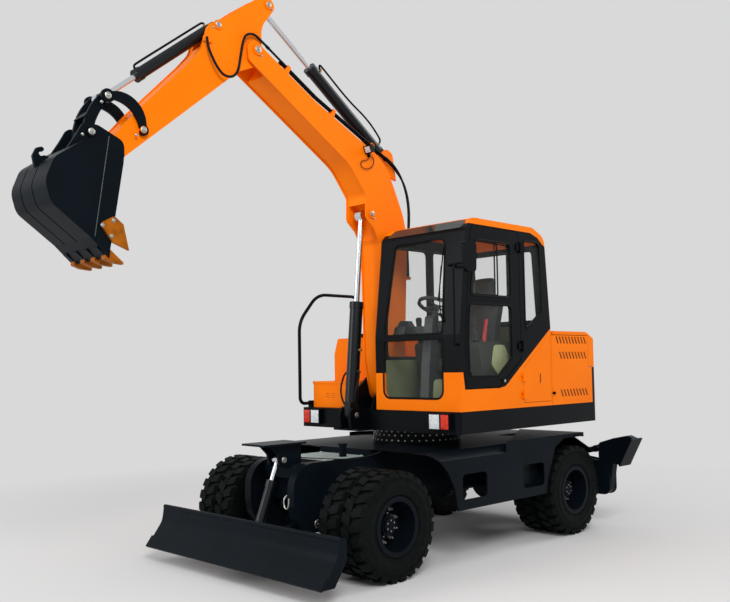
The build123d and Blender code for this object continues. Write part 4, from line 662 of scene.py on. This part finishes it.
def addHandles(h):
    side = cab["side"]
    left = onLeft(side)
    platePiece("doorPull", h["doorPull"], left, *h["pullDepth"], blackTrim, "cab_door", "dark_paint",
               soft=3)
    lock = bmesh.new()
    turned(lock, (h["lock"][0], side + h["lockProud"], h["lock"][1]), (0, 1, 0), h["lockSteps"])
    makePiece("doorLock", lock, zincPlate, "cab_door", soft=1)
    platePiece("hatchPlate", h["hatchPlate"], left, *h["plateDepth"], orangeEnamel, "access_door",
               "orange_paint", soft=1)
    # painted shade: a near-black plate where the key slot's shade would be
    platePiece("hatchSlotShade", h["hatchSlotShade"], left, *h["slotDepth"], moulded["slotShade"], "access_door",
               "dark_paint", soft=0.5)
    knob = bmesh.new()
    turned(knob, (h["knob"][0], side + h["knobProud"], h["knob"][1]), (0, 1, 0), h["knobSteps"])
    makePiece("coverKnob", knob, blackTrim, "upper", soft=0.5)


addHandles(handles)
print("seals, sliders and handles fitted")


# bright ends of the pins: x, z, distance of each end from the boom's centre, radius
boomCentre = -190
pinEnds = {
    "boom": [(1883, 4410, 152, 31), (533, 3144, 152, 27)],
    "arm": [(1739, 4855, 120, 27), (2269, 4533, 120, 26), (2976, 3514, 142, 25), (3210, 3320, 142, 25)],
    "guide_links": [(3270, 3719, 140, 26)],
    "bucket": [(3405, 3420, 152, 26)],
    "upper": [(215, 1455, 185, 36), (715, 1230, 85, 28)],
}
keeperBolts = {
    "boom": [(1843, 4366, 140, 9), (500, 3100, 140, 9)],
    "arm": [(1700, 4820, 110, 8), (2312, 4500, 110, 8)],
    "guide_links": [(3038, 3462, 140, 9), (3322, 3660, 140, 9)],
    "bucket": [(3470, 3392, 140, 9)],
    "upper": [(215, 1392, 173, 10)],
}


# each pin end is a flat disc with a chamfer and a grease nipple in its middle, and each keeper bolt a
# six-sided head on a washer
pinShape = {"sunk": 1, "disc": 5, "discTop": 7, "chamfer": 3, "nipple": [(7, 7), (13, 5), (15, 2)],
            "washer": 2, "washerRim": 3, "head": 7, "headTop": 8, "headChamfer": 2}


def addPins(ends, bolts, p):
    for body, rows in ends.items():
        form = bmesh.new()
        for x, z, reach, radius in rows:
            for sign in (1, -1):
                place = (x, boomCentre + sign * (reach - p["sunk"]), z)
                turned(form, place, (0, sign, 0), [(0, radius), (p["disc"], radius),
                                                   (p["discTop"], radius - p["chamfer"]), *p["nipple"]])
        for x, z, reach, radius in bolts.get(body, []):
            for sign in (1, -1):
                y = boomCentre + sign * (reach - p["sunk"])
                rim = radius + p["washerRim"]
                turned(form, (x, y, z), (0, sign, 0), [(0, rim), (p["washer"], rim)])
                turned(form, (x, y + sign * p["washer"], z), (0, sign, 0),
                       [(0, radius), (p["head"], radius), (p["headTop"], radius - p["headChamfer"])], 6)
        makePiece("pinEnds_" + body, form, zincPlate, body)


addPins(pinEnds, keeperBolts, pinShape)


# each wheel's nuts and studs on the disc, hub and cap bolts, tyre valve, and rings and ribs moulded on the
# outer sidewall
wheel = {
    "axles": {"front": 1404, "rear": -1154}, "sides": {"left": 1, "right": -1}, "height": 432.5,
    # rows of fasteners: how many, their circle's radius, the face they stand on, and the steps and sides of
    # each part, for a nut its washer, the nut and the stud
    "fasteners": [
        (10, 140, 881, [([(-1, 18), (3, 18)], 16), ([(2, 15), (17, 15), (20, 12)], 6),
                        ([(19, 8), (34, 8), (36, 6)], 10)]),
        (12, 93, 911, [([(-1, 6), (7, 6)], 6)]),
        (6, 42, 973, [([(-1, 6), (6, 6)], 6)]),
    ],
    "valve": [(0, 5), (26, 5), (30, 4), (34, 3)], "valvePlace": (185, 881), "valveSides": 10,
    "rings": [(256, 1058, 3), (318, 1064.82, 2)], "ringSides": 72,      # radius, distance out, height
    "ringHalf": 3, "ringCrown": 1.5, "ringFoot": -6,
    "sidewall": 1058, "ribCount": 84, "ribIn": 346, "ribOut": 383, "ribWidth": 7, "ribDepth": (-2, 6),
}


def addWheelDetails(w):
    wide, foot, half = w["ringHalf"], w["ringFoot"], w["ribWidth"] / 2
    valveX, valveFace = w["valvePlace"]
    for axle, x in w["axles"].items():
        for side, sign in w["sides"].items():
            name, out = axle + "_" + side, (0, sign, 0)
            nuts, ribs = bmesh.new(), bmesh.new()
            for count, circle, face, parts in w["fasteners"]:
                for c, s in spokes(count, 0.5):
                    for steps, sides in parts:
                        turned(nuts, (x + circle * c, sign * face, w["height"] + circle * s), out, steps,
                               sides)
            turned(nuts, (x + valveX, sign * valveFace, w["height"]), out, w["valve"], w["valveSides"])
            makePiece("wheelNuts_" + name, nuts, zincPlate, "wheel_" + name)
            for radius, level, height in w["rings"]:
                outline = [Vector((x + radius * c, w["height"] + radius * s))
                           for c, s in spokes(w["ringSides"])]
                edging(ribs, outline, onFlank(sign, level), [(-wide, foot), (-wide, height),
                                                             (0, height + w["ringCrown"]), (wide, height),
                                                             (wide, foot)])
            hub = Vector((x, w["height"]))
            for c, s in spokes(w["ribCount"]):
                ray, along = Vector((c, s)), Vector((-s, c))
                corners = [hub + ray * w[end] + along * across for end, across in
                           (("ribIn", -half), ("ribOut", -half), ("ribOut", half), ("ribIn", half))]
                plate(ribs, corners, onFlank(sign, w["sidewall"]), *w["ribDepth"])
            makePiece("sidewallRibs_" + name, ribs, tyreRubber, "wheel_" + name)


addWheelDetails(wheel)
print("pins, nuts and sidewalls made")


# bolt rings of the slew bearing: radius, how many in a ring, steps of one head, and the rings' heights
slewBolts = {"radius": 426, "count": 40, "steps": [(-2, 9), (5, 9), (7, 7)],
             "rows": [("chassis", 982), ("upper", 1030), ("upper", 1066)]}


def addSlewBolts(b):
    forms = {"chassis": bmesh.new(), "upper": bmesh.new()}
    for row, (body, z) in enumerate(b["rows"]):
        for c, s in spokes(b["count"], 0.5 * (row % 2)):       # every second ring is turned by half a step
            turned(forms[body], (b["radius"] * c, b["radius"] * s, z), (c, s, 0), b["steps"], 6)
    for body, form in forms.items():
        makePiece("slewBolts_" + body, form, zincPlate, body)


addSlewBolts(slewBolts)


# lamp lenses: pressed plastic with upright flutes, white inside and red outside
lamps = {"face": 646, "low": 1122, "high": 1268, "rim": 9, "rounding": 4, "sunk": 1,
         "flute": 8, "fluteDepth": 2.5, "fluteSteps": 4,
         "lenses": {"clearLens": (720, 852), "redLens": (852, 955)}}


def addLenses(lamp):
    low, high, back = lamp["low"] + lamp["rim"], lamp["high"] - lamp["rim"], lamp["face"] - lamp["sunk"]
    for side, sign in (("left", 1), ("right", -1)):
        for lens, (inner, outer) in lamp["lenses"].items():
            near, far = inner + lamp["rim"], outer - lamp["rim"]
            steps = lamp["fluteSteps"] * round((far - near) / lamp["flute"])
            form = bmesh.new()
            columns = []
            for k in range(steps + 1):
                y = sign * (near + (far - near) * k / steps)
                front = lamp["face"] + lamp["fluteDepth"] * abs(math.sin(math.pi * k / lamp["fluteSteps"]))
                columns.append([form.verts.new(Vector(p) * mm) for p in (
                    (back, y, low), (front, y, low + lamp["rounding"]), (front, y, high - lamp["rounding"]),
                    (back, y, high))])
            skin(form, columns)
            makePiece(lens + "_" + side, form, moulded[lens], "upper")


addLenses(lamps)


# the work lamp beside the boom: a lens in its bezel, with a smaller face in front of it
workLamp = {"centre": (592, -5.7, 3757), "facing": (0.92, 0.1, -0.38), "across": (-0.1, 0.92, 0),
            "half": (31, 29), "corner": 5, "glass": (25, 28), "front": 31, "frontShare": 0.5}


def addWorkLens(lamp):
    facing, across = Vector(lamp["facing"]).normalized(), Vector(lamp["across"]).normalized()
    up = facing.cross(across)
    centre = Vector(lamp["centre"])
    width, height = lamp["half"]

    def place(a, b, h):
        return tuple(centre + across * a + up * b + facing * h)

    form = bmesh.new()
    outline = rounded([(a, b, lamp["corner"]) for a, b in
                       ((-width, -height), (width, -height), (width, height), (-width, height))])
    plate(form, outline, place, *lamp["glass"])
    share = lamp["frontShare"]
    front = [form.verts.new(Vector(place(share * p.x, share * p.y, lamp["front"])) * mm) for p in outline]
    form.faces.new(front[::-1])
    makePiece("workLens", form, moulded["clearLens"], "boom", soft=1)


addWorkLens(workLamp)
print("bolt rings and lamps fitted")


# painted shade: dark plates just proud of the pressed louvres' pocket floors, for the shade inside the
# slots
louvres = {"rows": [(-905, 1948, 10), (-960, 1797, 9), (-970, 1426, 9)], "pitch": 56, "width": 24,
           "height": 70, "lean": 34, "margin": 1.5, "side": 1033, "depth": (-13, -4)}


def addLouvreShades(v):
    form = bmesh.new()
    m = v["margin"]
    for x, z, count in v["rows"]:
        for i in range(count):
            front = x - i * v["pitch"]
            corners = [(front - m, z - m), (front - v["width"] + m, z - m),
                       (front - v["lean"] - v["width"] + m, z - v["height"] + m),
                       (front - v["lean"] - m, z - v["height"] + m)]
            for sign in (1, -1):
                plate(form, corners, onFlank(sign, v["side"]), *v["depth"])
    makePiece("louvreShades", form, moulded["slotShade"], "upper")


addLouvreShades(louvres)


# the engine cover's rounded rear corners, one bent sheet each side behind the side wall's end
coverCorners = {"plan": [(-1500, 1032, 0), (-1620, 1032, 60), (-1729, 862, 380), (-1729, 600, 0)],
                "thick": 20, "low": 1641.5, "high": 1875, "bends": 10}


def addCoverCorners(c):
    form = bmesh.new()
    outer = rounded(c["plan"] + [(-1500, 600, 0)], c["bends"])[:-1]
    inner = []
    for before, here, after in zip(outer[:-2], outer[1:-1], outer[2:]):
        along = (after - before).normalized()
        inner.append(here + Vector((-along.y, along.x)) * c["thick"])
    outline = outer[1:-1] + inner[::-1]
    for sign in (1, -1):
        plate(form, outline, lambda a, b, h: (a, sign * b, h), c["low"], c["high"])
    makePiece("coverCorners", form, orangeEnamel, "bonnet")


addCoverCorners(coverCorners)


# the dark tinted pane in the roof's front slope, which keeps the sun out of the cab
roofPane = {"foot": (462, 2880), "head": (358, 2985), "proud": (1, 7),
            "corners": [(62, 2893, 20), (985, 2893, 30), (985, 2972, 30), (120, 2972, 40)]}


def addRoofPane(r):
    lean = onLean(r["foot"], r["head"], 1)
    platePiece("roofPane", r["corners"], lean, *r["proud"], roofGlass, "upper", "window", soft=1)


addRoofPane(roofPane)


# two rings of eight small vent holes in the tool box's front, drawn as dark discs of painted shade, and the
# tank's filler cap
boxes = {"ventX": 509, "vents": [(-735, 1400), (-655, 1400)], "ventStep": 18, "ventSteps": [(0, 4), (2, 4)],
         "filler": (40, -700, 1980),
         "fillerSteps": [(0, 48), (14, 48), (16, 62), (40, 62), (44, 56), (46, 20)]}


def addBoxDetails(b):
    vents = bmesh.new()
    for y, z in b["vents"]:
        for i in (-1, 0, 1):
            for k in (-1, 0, 1):
                if i or k:
                    turned(vents, (b["ventX"], y + i * b["ventStep"], z + k * b["ventStep"]), (1, 0, 0),
                           b["ventSteps"], 12)
    # painted shade: near-black discs where the vent holes' shade would be
    makePiece("boxVentShades", vents, moulded["slotShade"], "upper")
    cap = bmesh.new()
    turned(cap, b["filler"], (0, 0, 1), b["fillerSteps"], 32)
    makePiece("fillerCap", cap, blackTrim, "upper", soft=1)


addBoxDetails(boxes)


# bucket: a rippled weld bead down each side plate, and the cutters' bolts. A wave is its mean and its
# swing, and the bead's section has its share of the half width, its share of the crown, and mm more
bucketTrim = {"beadLine": [(3339, 3369), (3447, 2636)], "sides": [(95, 1), (-475, -1)], "beadWidth": 9,
              "beadSteps": 46, "ripple": 9.4, "widthWave": (0.85, 0.15), "crownWave": (3.0, 1.2),
              "section": [(-1, 0, -1), (-0.6, 0.7, 0), (0, 1, 0), (0.6, 0.7, 0), (1, 0, -1)],
              "bolts": [(3400, 2717), (3315, 2759), (3331, 2645)], "cutterFace": 20.3,
              "washerSteps": [(-1, 16), (2, 16)], "headSteps": [(1, 13), (9, 13), (11, 10)]}


def addBucketTrim(b):
    bead, bolts = bmesh.new(), bmesh.new()
    head, foot = (Vector(p) for p in b["beadLine"])
    along = (foot - head).normalized()
    side = Vector((-along.y, along.x))
    for y, sign in b["sides"]:
        rings = []
        for k in range(b["beadSteps"] + 1):
            centre = head.lerp(foot, k / b["beadSteps"])
            wave = math.cos(b["ripple"] * k)
            half = b["beadWidth"] / 2 * (b["widthWave"][0] + b["widthWave"][1] * wave)
            crown = b["crownWave"][0] + b["crownWave"][1] * wave
            ring = [(half * wide, crown * high + more) for wide, high, more in b["section"]]
            rings.append([bead.verts.new(Vector((centre.x + side.x * s, y + sign * h,
                                                 centre.y + side.y * s)) * mm)
                          for s, h in ring])
        skin(bead, rings)
        for x, z in b["bolts"]:
            place = (x, y + sign * b["cutterFace"], z)
            turned(bolts, place, (0, sign, 0), b["washerSteps"], 20)
            turned(bolts, place, (0, sign, 0), b["headSteps"], 6)
    makePiece("weldBeads", bead, castIron, "bucket")
    makePiece("cutterBolts", bolts, zincPlate, "bucket")


addBucketTrim(bucketTrim)


# deck: a low post with its cap, a bolted pale cover sheet over the swivel, its pale grey partly painted
# reflection of the sky on the deck top, and the ends of the blade's pins
deck = {
    "post": [(1157, 170, 6), (1207, 170, 6), (1207, 220, 6), (1157, 220, 6)], "low": 899, "high": 1005,
    "cap": [(1149, 162, 8), (1215, 162, 8), (1215, 228, 8), (1149, 228, 8)], "capHigh": 1017,
    "sheet": [(1005, -290, 30), (1485, -290, 30), (1485, 290, 30), (1005, 290, 30)], "sheetThick": 5,
    "boltX": (1030, 1460), "boltY": (-265, 265), "boltZ": 903, "boltSteps": [(0, 11), (6, 11), (8, 8)],
    "pins": [((1745, 79, 915), [(0, 27), (5, 27), (8, 23), (8, 6), (13, 4)]),
             ((1600, 326, 400), [(-3, 36), (5, 36), (8, 32), (8, 7), (13, 5)])],
}


def addDeck(d):
    form = bmesh.new()
    plate(form, rounded(d["post"]), onTop(0), d["low"], d["high"])
    plate(form, rounded(d["cap"]), onTop(0), d["high"], d["capHigh"])
    makePiece("deckPost", form, slateEnamel, "chassis", soft=2)
    sheet = bmesh.new()
    plate(sheet, rounded(d["sheet"]), onTop(d["low"]), 0, d["sheetThick"])
    for x in d["boltX"]:
        for y in d["boltY"]:
            turned(sheet, (x, y, d["boltZ"]), (0, 0, 1), d["boltSteps"], 6)
    makePiece("deckSheet", sheet, paints["greyEnamelAndSkyReflection"], "chassis", soft=1)
    pins = bmesh.new()
    for sign in (1, -1):
        for (x, y, z), steps in d["pins"]:
            turned(pins, (x, sign * y, z), (0, sign, 0), steps)
    makePiece("bladePins", pins, zincPlate, "chassis")


addDeck(deck)


# hose ports on the rams: a six-sided union and the sleeve in it, each at its place and facing its way
portShape = {"union": [(-6, 15), (8, 15), (8, 12), (20, 12)], "sleeve": [(0, 10), (14, 10)],
             "sleeveFrom": 14}
ramPorts = {
    "boom_ram_barrel": [((664, -252, 1637), (0.1, -1, 0)), ((664, -128, 1637), (0.1, 1, 0)),
                        ((680, -252, 1456), (0, -1, 0)), ((648, -128, 1840), (0, 1, 0))],
    "bucket_ram_barrel": [((2936, -190, 3990), (0.63, 0, 0.776)), ((2318, -190, 4530), (0.63, 0, 0.776))],
    "arm_ram_barrel": [((1062, -165, 4440), (0.1, 0.4, 0.9)), ((318, -160, 3868), (-0.5, 0.5, 0.7))],
}


def addPorts(table, p):
    for body, rows in table.items():
        form = bmesh.new()
        for place, way in rows:
            turned(form, place, way, p["union"], 6)
            turned(form, Vector(place) + Vector(way).normalized() * p["sleeveFrom"], way, p["sleeve"], 16)
        makePiece("ports_" + body, form, yellowZinc, body)


addPorts(ramPorts, portShape)


# the ball on the antenna's tip
antenna = {"ball": (-806, 873, 2912), "radius": 11, "steps": 8, "pole": 0.8}


def addAntennaBall(a):
    form = bmesh.new()
    radius, turns = a["radius"], [math.pi * k / a["steps"] for k in range(a["steps"] + 1)]
    profile = [(radius * (1 - math.cos(t)), max(radius * math.sin(t), a["pole"])) for t in turns]
    turned(form, Vector(a["ball"]) - Vector((0, 0, radius)), (0, 0, 1), profile, 16)
    makePiece("antennaBall", form, blackTrim, "upper")


addAntennaBall(antenna)


# the wiper's pivot and blade on the windscreen
wiper = {"pivot": (560, 846, 2075), "pivotSteps": [(0, 14), (14, 14), (18, 9)], "bladeTop": 2724,
         "bladeLow": 2251, "bladeY": (807, 780), "width": 7, "proud": (6, 18)}


def addWiper(w):
    form = bmesh.new()
    turned(form, w["pivot"], (1, 0, 0), w["pivotSteps"], 16)
    lean = onLean(cab["windscreenFoot"], cab["windscreenHead"], 1)
    (top, low), half = w["bladeY"], w["width"] / 2
    corners = [(top - half, w["bladeTop"]), (top + half, w["bladeTop"]), (low + half, w["bladeLow"]),
               (low - half, w["bladeLow"])]
    plate(form, corners, lean, *w["proud"])
    makePiece("wiperBlade", form, sealRubber, "upper", soft=1)


addWiper(wiper)
print("louvres, boxes, bucket, deck and rams dressed")


# the driver's seat: three vinyl pads, blown up a little by cloth simulation, on rubber bellows. A pad's
# section goes across from one side to the other, drawn in by the inset at each distance from the side
seat = {
    "y": 520, "voxel": 9, "pressure": 4.0, "quality": 4, "frames": 20, "cap": 9,
    "sides": [(0, 26), (10, 9), (30, 0)], "crown": (0.35, -3),
    "pads": {
        "seatCushion": {"outline": [(-385, 1632, 18), (88, 1632, 30), (108, 1690, 40), (88, 1742, 28),
                                    (-385, 1730, 18)], "half": 238, "fill": 0.7},
        "seatBack": {"outline": [(-335, 1738, 28), (-258, 1752, 26), (-398, 2318, 40), (-492, 2318, 40)],
                     "half": 228, "fill": 0.7},
        "headRest": {"outline": [(-410, 2330, 18), (-478, 2330, 18), (-512, 2532, 34), (-438, 2532, 34)],
                     "half": 122, "fill": 0.6},
    },
    "bellows": {"low": 1321, "high": 1622, "ribs": 6, "bulge": 14,
                "corners": [(-320, 370, 30), (-20, 370, 30), (-20, 670, 30), (-320, 670, 30)]},
}


# the pad gets an even skin, swells under the cloth's pressure, and no point of it moves further than the
# cap
def puffUp(pad, s):
    remesh = pad.modifiers.new("evenSkin", "REMESH")
    remesh.mode, remesh.voxel_size = "VOXEL", s["voxel"] * mm
    pad.data = meshOf(pad)
    pad.modifiers.clear()
    before = [v.co.copy() for v in pad.data.vertices]
    cloth = pad.modifiers.new("blownUp", "CLOTH")
    cloth.settings.use_pressure = True
    cloth.settings.uniform_pressure_force = s["pressure"]
    cloth.settings.effector_weights.gravity = 0
    cloth.settings.quality = s["quality"]
    for number in range(1, s["frames"] + 1):
        scene.frame_set(number)
    blown = meshOf(pad)
    pad.modifiers.clear()
    pad.data = blown
    scene.frame_set(1)
    limit = s["cap"] * mm
    for vertex, start in zip(blown.vertices, before):
        step = vertex.co - start
        if step.length > limit:
            vertex.co = start + step * (limit / step.length)
    finer = pad.modifiers.new("finer", "SUBSURF")
    finer.levels = finer.render_levels = 1


def addBellows(b):
    form = bmesh.new()
    corners = rounded(b["corners"])
    middle = sum(corners, Vector((0, 0))) / len(corners)
    rings = []
    for k in range(2 * b["ribs"] + 1):
        z = b["low"] + (b["high"] - b["low"]) * k / (2 * b["ribs"])
        out = b["bulge"] if k % 2 else 0
        rings.append([form.verts.new(Vector((*(p + (p - middle).normalized() * out), z)) * mm)
                      for p in corners])
    skin(form, rings)
    makePiece("seatBellows", form, sealRubber, "upper")


def addSeat(s):
    for name, p in s["pads"].items():
        form = bmesh.new()
        half, (share, swell) = p["half"], s["crown"]
        right = [(half - back, inset) for back, inset in s["sides"]] + [(half * share, swell)]
        outline = rounded(p["outline"], 5)
        centre = sum(outline, Vector((0, 0))) / len(outline)
        rings = []
        for across, inset in [(-a, inset) for a, inset in right] + right[::-1]:
            ring = []
            for point in outline:
                pull = (centre - point).normalized() * inset
                ring.append(form.verts.new(Vector((point.x + pull.x, s["y"] + across,
                                                   point.y + pull.y)) * mm))
            rings.append(ring)
        skin(form, rings)
        pad = makePiece(name, form, moulded["seatVinyl"], "upper")
        puffUp(pad, s)
        if not pad.data.materials:
            pad.data.materials.append(moulded["seatVinyl"])
        smoothFaces(pad.data)
    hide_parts("seat")
    addBellows(s["bellows"])


addSeat(seat)
print("seat padded")


# lining, mat, pedals, levers and screen inside the cab
interior = {
    "mat": [(-300, 80, 40), (500, 80, 40), (500, 960, 40), (-300, 960, 40)], "matZ": 1321, "matThick": 6,
    "matRibs": {"count": 18, "first": 110, "pitch": 45, "width": 14, "ends": (-280, 470), "depth": (5, 9)},
    "lining": [([(500, 1340, 40), (-760, 1340, 20), (-760, 2010, 20), (-200, 1740, 30), (500, 1740, 30)],
                onLeft(56), (0, 14)),
               ([(80, 1340, 20), (960, 1340, 20), (960, 2060, 30), (80, 2060, 30)], onFront(-780), (0, 16)),
               ([(620, 1340, 20), (960, 1340, 20), (960, 1560, 40), (640, 1560, 40)], onFront(470),
                (-12, 0))],
    "consoleCover": [(-67, 1864, 40), (-214, 1864, 50), (-333, 1713, 60), (-296, 1582, 40),
                     (-140, 1566, 50), (-23, 1679, 60)], "coverY": 910, "coverDepth": (-2, 12),
    "dash": [(40, 1958, 0), (600, 1958, 0), (594, 2050, 12), (584, 2092, 14), (474, 2097, 14),
             (447, 2050, 12), (246, 2054, 12), (211, 2108, 14), (107, 2113, 14), (65, 2060, 12),
             (40, 2050, 10)],
    "dashX": 270, "dashDepth": (0, 60),
    "pedals": [(330, 430, 1345), (330, 600, 1345)], "pedalHalf": 35, "pedalLength": 150, "pedalCorner": 12,
    "pedalLean": ((0, 1, 0), (0.62, 0, 0.75), (-0.7, 0, 0.6)), "pedalDepth": (20, 30),
    "treads": {"count": 5, "first": 18, "pitch": 28, "width": 10, "margin": 8, "depth": (29, 34)},
    "levers": [850, 190], "leverWay": (0.06, 0, 1),
    "grip": [(0, 17), (10, 24), (50, 26), (84, 30), (104, 27), (112, 14)], "gripPlace": (146, 2035),
    "gaiter": {"count": 5, "place": (110, 1902), "step": (2, 18), "taper": 6,
               "steps": [(0, 42), (9, 46), (18, 40)]},
    "screen": [(0, 0, 12), (150, 0, 12), (150, 110, 12), (0, 110, 12)], "screenPlace": (420, 120, 1935),
    "screenLean": ((0, 0.9, 0), (-0.3, 0, 0.95), (0.9, 0.2, 0.3)), "screenDepth": (0, 40),
    "lockLever": [(60, 1890, 10), (96, 1890, 14), (48, 2100, 16), (18, 2100, 12)], "lockY": 900,
    "lockDepth": (0, 22),
}


def addMat(r):
    mat, rib = bmesh.new(), r["matRibs"]
    left, right = rib["ends"]
    plate(mat, rounded(r["mat"]), onTop(r["matZ"]), 0, r["matThick"])
    for k in range(rib["count"]):
        y = rib["first"] + rib["pitch"] * k
        far = y + rib["width"]
        plate(mat, [(left, y), (right, y), (right, far), (left, far)], onTop(r["matZ"]), *rib["depth"])
    makePiece("floorMat", mat, sealRubber, "upper", soft=1)


def addPedals(r):
    pedals, tread, half, length = bmesh.new(), r["treads"], r["pedalHalf"], r["pedalLength"]
    edge = half - tread["margin"]
    for start in r["pedals"]:
        lean = onBoard(start, *r["pedalLean"])
        outline = rounded([(a, b, r["pedalCorner"])
                           for a, b in ((-half, 0), (half, 0), (half, length), (-half, length))])
        plate(pedals, outline, lean, *r["pedalDepth"])
        for k in range(tread["count"]):
            low = tread["first"] + tread["pitch"] * k
            high = low + tread["width"]
            plate(pedals, [(-edge, low), (edge, low), (edge, high), (-edge, high)], lean, *tread["depth"])
    makePiece("footPedals", pedals, moulded["blueRubber"], "upper", soft=1)


# each lever's grip, and the rubber gaiter round its foot
def addLevers(r):
    grips, g = bmesh.new(), r["gaiter"]
    for y in r["levers"]:
        turned(grips, (r["gripPlace"][0], y, r["gripPlace"][1]), r["leverWay"], r["grip"], 20)
        for k in range(g["count"]):
            place = (g["place"][0] + g["step"][0] * k, y, g["place"][1] + g["step"][1] * k)
            turned(grips, place, r["leverWay"],
                   [(along, radius - g["taper"] * k) for along, radius in g["steps"]])
    makePiece("leverGrips", grips, moulded["seatVinyl"], "upper")


def addInterior(r):
    addMat(r)
    lining = bmesh.new()
    for corners, place, depth in r["lining"]:
        plate(lining, rounded(corners), place, *depth)
    makePiece("cabLining", lining, moulded["olivePanel"], "upper", soft=3)
    inCab = ("upper", "cab_plastic")
    platePiece("consoleCover", r["consoleCover"], onLeft(r["coverY"]), *r["coverDepth"],
               moulded["paleLining"], *inCab, soft=4)
    platePiece("dashPanel", r["dash"], onFront(r["dashX"]), *r["dashDepth"], moulded["seatVinyl"], *inCab,
               soft=4)
    addPedals(r)
    addLevers(r)
    tilt = onBoard(r["screenPlace"], *r["screenLean"])
    platePiece("screenPod", r["screen"], tilt, *r["screenDepth"], moulded["seatVinyl"], *inCab, soft=2)
    platePiece("lockLever", r["lockLever"], onLeft(r["lockY"]), *r["lockDepth"], paints["redEnamel"],
               *inCab, soft=4)


addInterior(interior)
print("cab furnished")


# floor, light and background: sizes and places in m, and each lamp's place, target, size and power in W
studio = {"pale": "#D9D9D9", "floorNear": "#DADADA", "fadeStart": 3.2, "fadeEnd": 7.5, "skyLight": 0.55,
          "floorHalf": 60, "floorCells": 12,
          "lamps": {"keyLamp": ((7, 9, 9), (0, 0, 1.8), 5, 900),
                    "fillLamp": ((10, -4, 5), (0, 0, 1.8), 6, 380),
                    "rimLamp": ((-8, 3, 8), (0, 0, 2), 5, 260)}}


# the floor keeps the shadow near the machine and turns into the even background further out
def makeFloor(s):
    form = bmesh.new()
    cells = s["floorCells"]
    bmesh.ops.create_grid(form, x_segments=cells, y_segments=cells, size=s["floorHalf"])
    mesh = bpy.data.meshes.new("studioFloor")
    form.to_mesh(mesh)
    form.free()
    floor = bpy.data.objects.new("studioFloor", mesh)
    scene.collection.objects.link(floor)
    made, tree, shader, spot = startMaterial("paleFloor", Roughness=0.9, Specular_IOR_Level=0.0,
                                             Base_Color=toLinear(s["floorNear"]))
    away = node(tree, "ShaderNodeVectorMath", {}, {0: spot}, operation="LENGTH")
    share = node(tree, "ShaderNodeMapRange", {"From Min": s["fadeStart"], "From Max": s["fadeEnd"]},
                 {"Value": away.outputs["Value"]})
    glow = node(tree, "ShaderNodeEmission", {"Color": toLinear(s["pale"]), "Strength": 1.0})
    both = node(tree, "ShaderNodeMixShader", {}, {0: share.outputs["Result"], 1: shader.outputs["BSDF"],
                                                  2: glow.outputs["Emission"]})
    tree.links.new(both.outputs["Shader"], tree.nodes["Material Output"].inputs["Surface"])
    mesh.materials.append(made)


makeFloor(studio)


# camera, glossy and transmission rays see the background's own tone, the rest is even light
def makeRoom(s):
    world = bpy.data.worlds.new("paleRoom")
    scene.world = world
    world.use_nodes = True
    tree = world.node_tree
    light = tree.nodes["Background"]
    light.inputs["Color"].default_value = (1, 1, 1, 1)
    light.inputs["Strength"].default_value = s["skyLight"]
    seen = node(tree, "ShaderNodeBackground", {"Color": toLinear(s["pale"]), "Strength": 1.0})
    rays = node(tree, "ShaderNodeLightPath")
    first = node(tree, "ShaderNodeMath", {},
                 {0: rays.outputs["Is Camera Ray"], 1: rays.outputs["Is Glossy Ray"]},
                 operation="MAXIMUM")
    second = node(tree, "ShaderNodeMath", {}, {0: first.outputs[0], 1: rays.outputs["Is Transmission Ray"]},
                  operation="MAXIMUM")
    both = node(tree, "ShaderNodeMixShader", {}, {0: second.outputs[0], 1: light.outputs["Background"],
                                                  2: seen.outputs["Background"]})
    tree.links.new(both.outputs["Shader"], tree.nodes["World Output"].inputs["Surface"])


makeRoom(studio)


def areaLamp(name, place, target, size, power):
    data = bpy.data.lights.new(name, "AREA")
    data.shape, data.size, data.energy = "DISK", size, power
    lamp = bpy.data.objects.new(name, data)
    lamp.location = place
    lamp.rotation_euler = (Vector(target) - Vector(place)).to_track_quat("-Z", "Y").to_euler()
    scene.collection.objects.link(lamp)


for name, (place, target, size, power) in studio["lamps"].items():
    areaLamp(name, place, target, size, power)
scene.view_settings.view_transform = "Standard"
print("floor, room and lamps set")

print("scene ready")
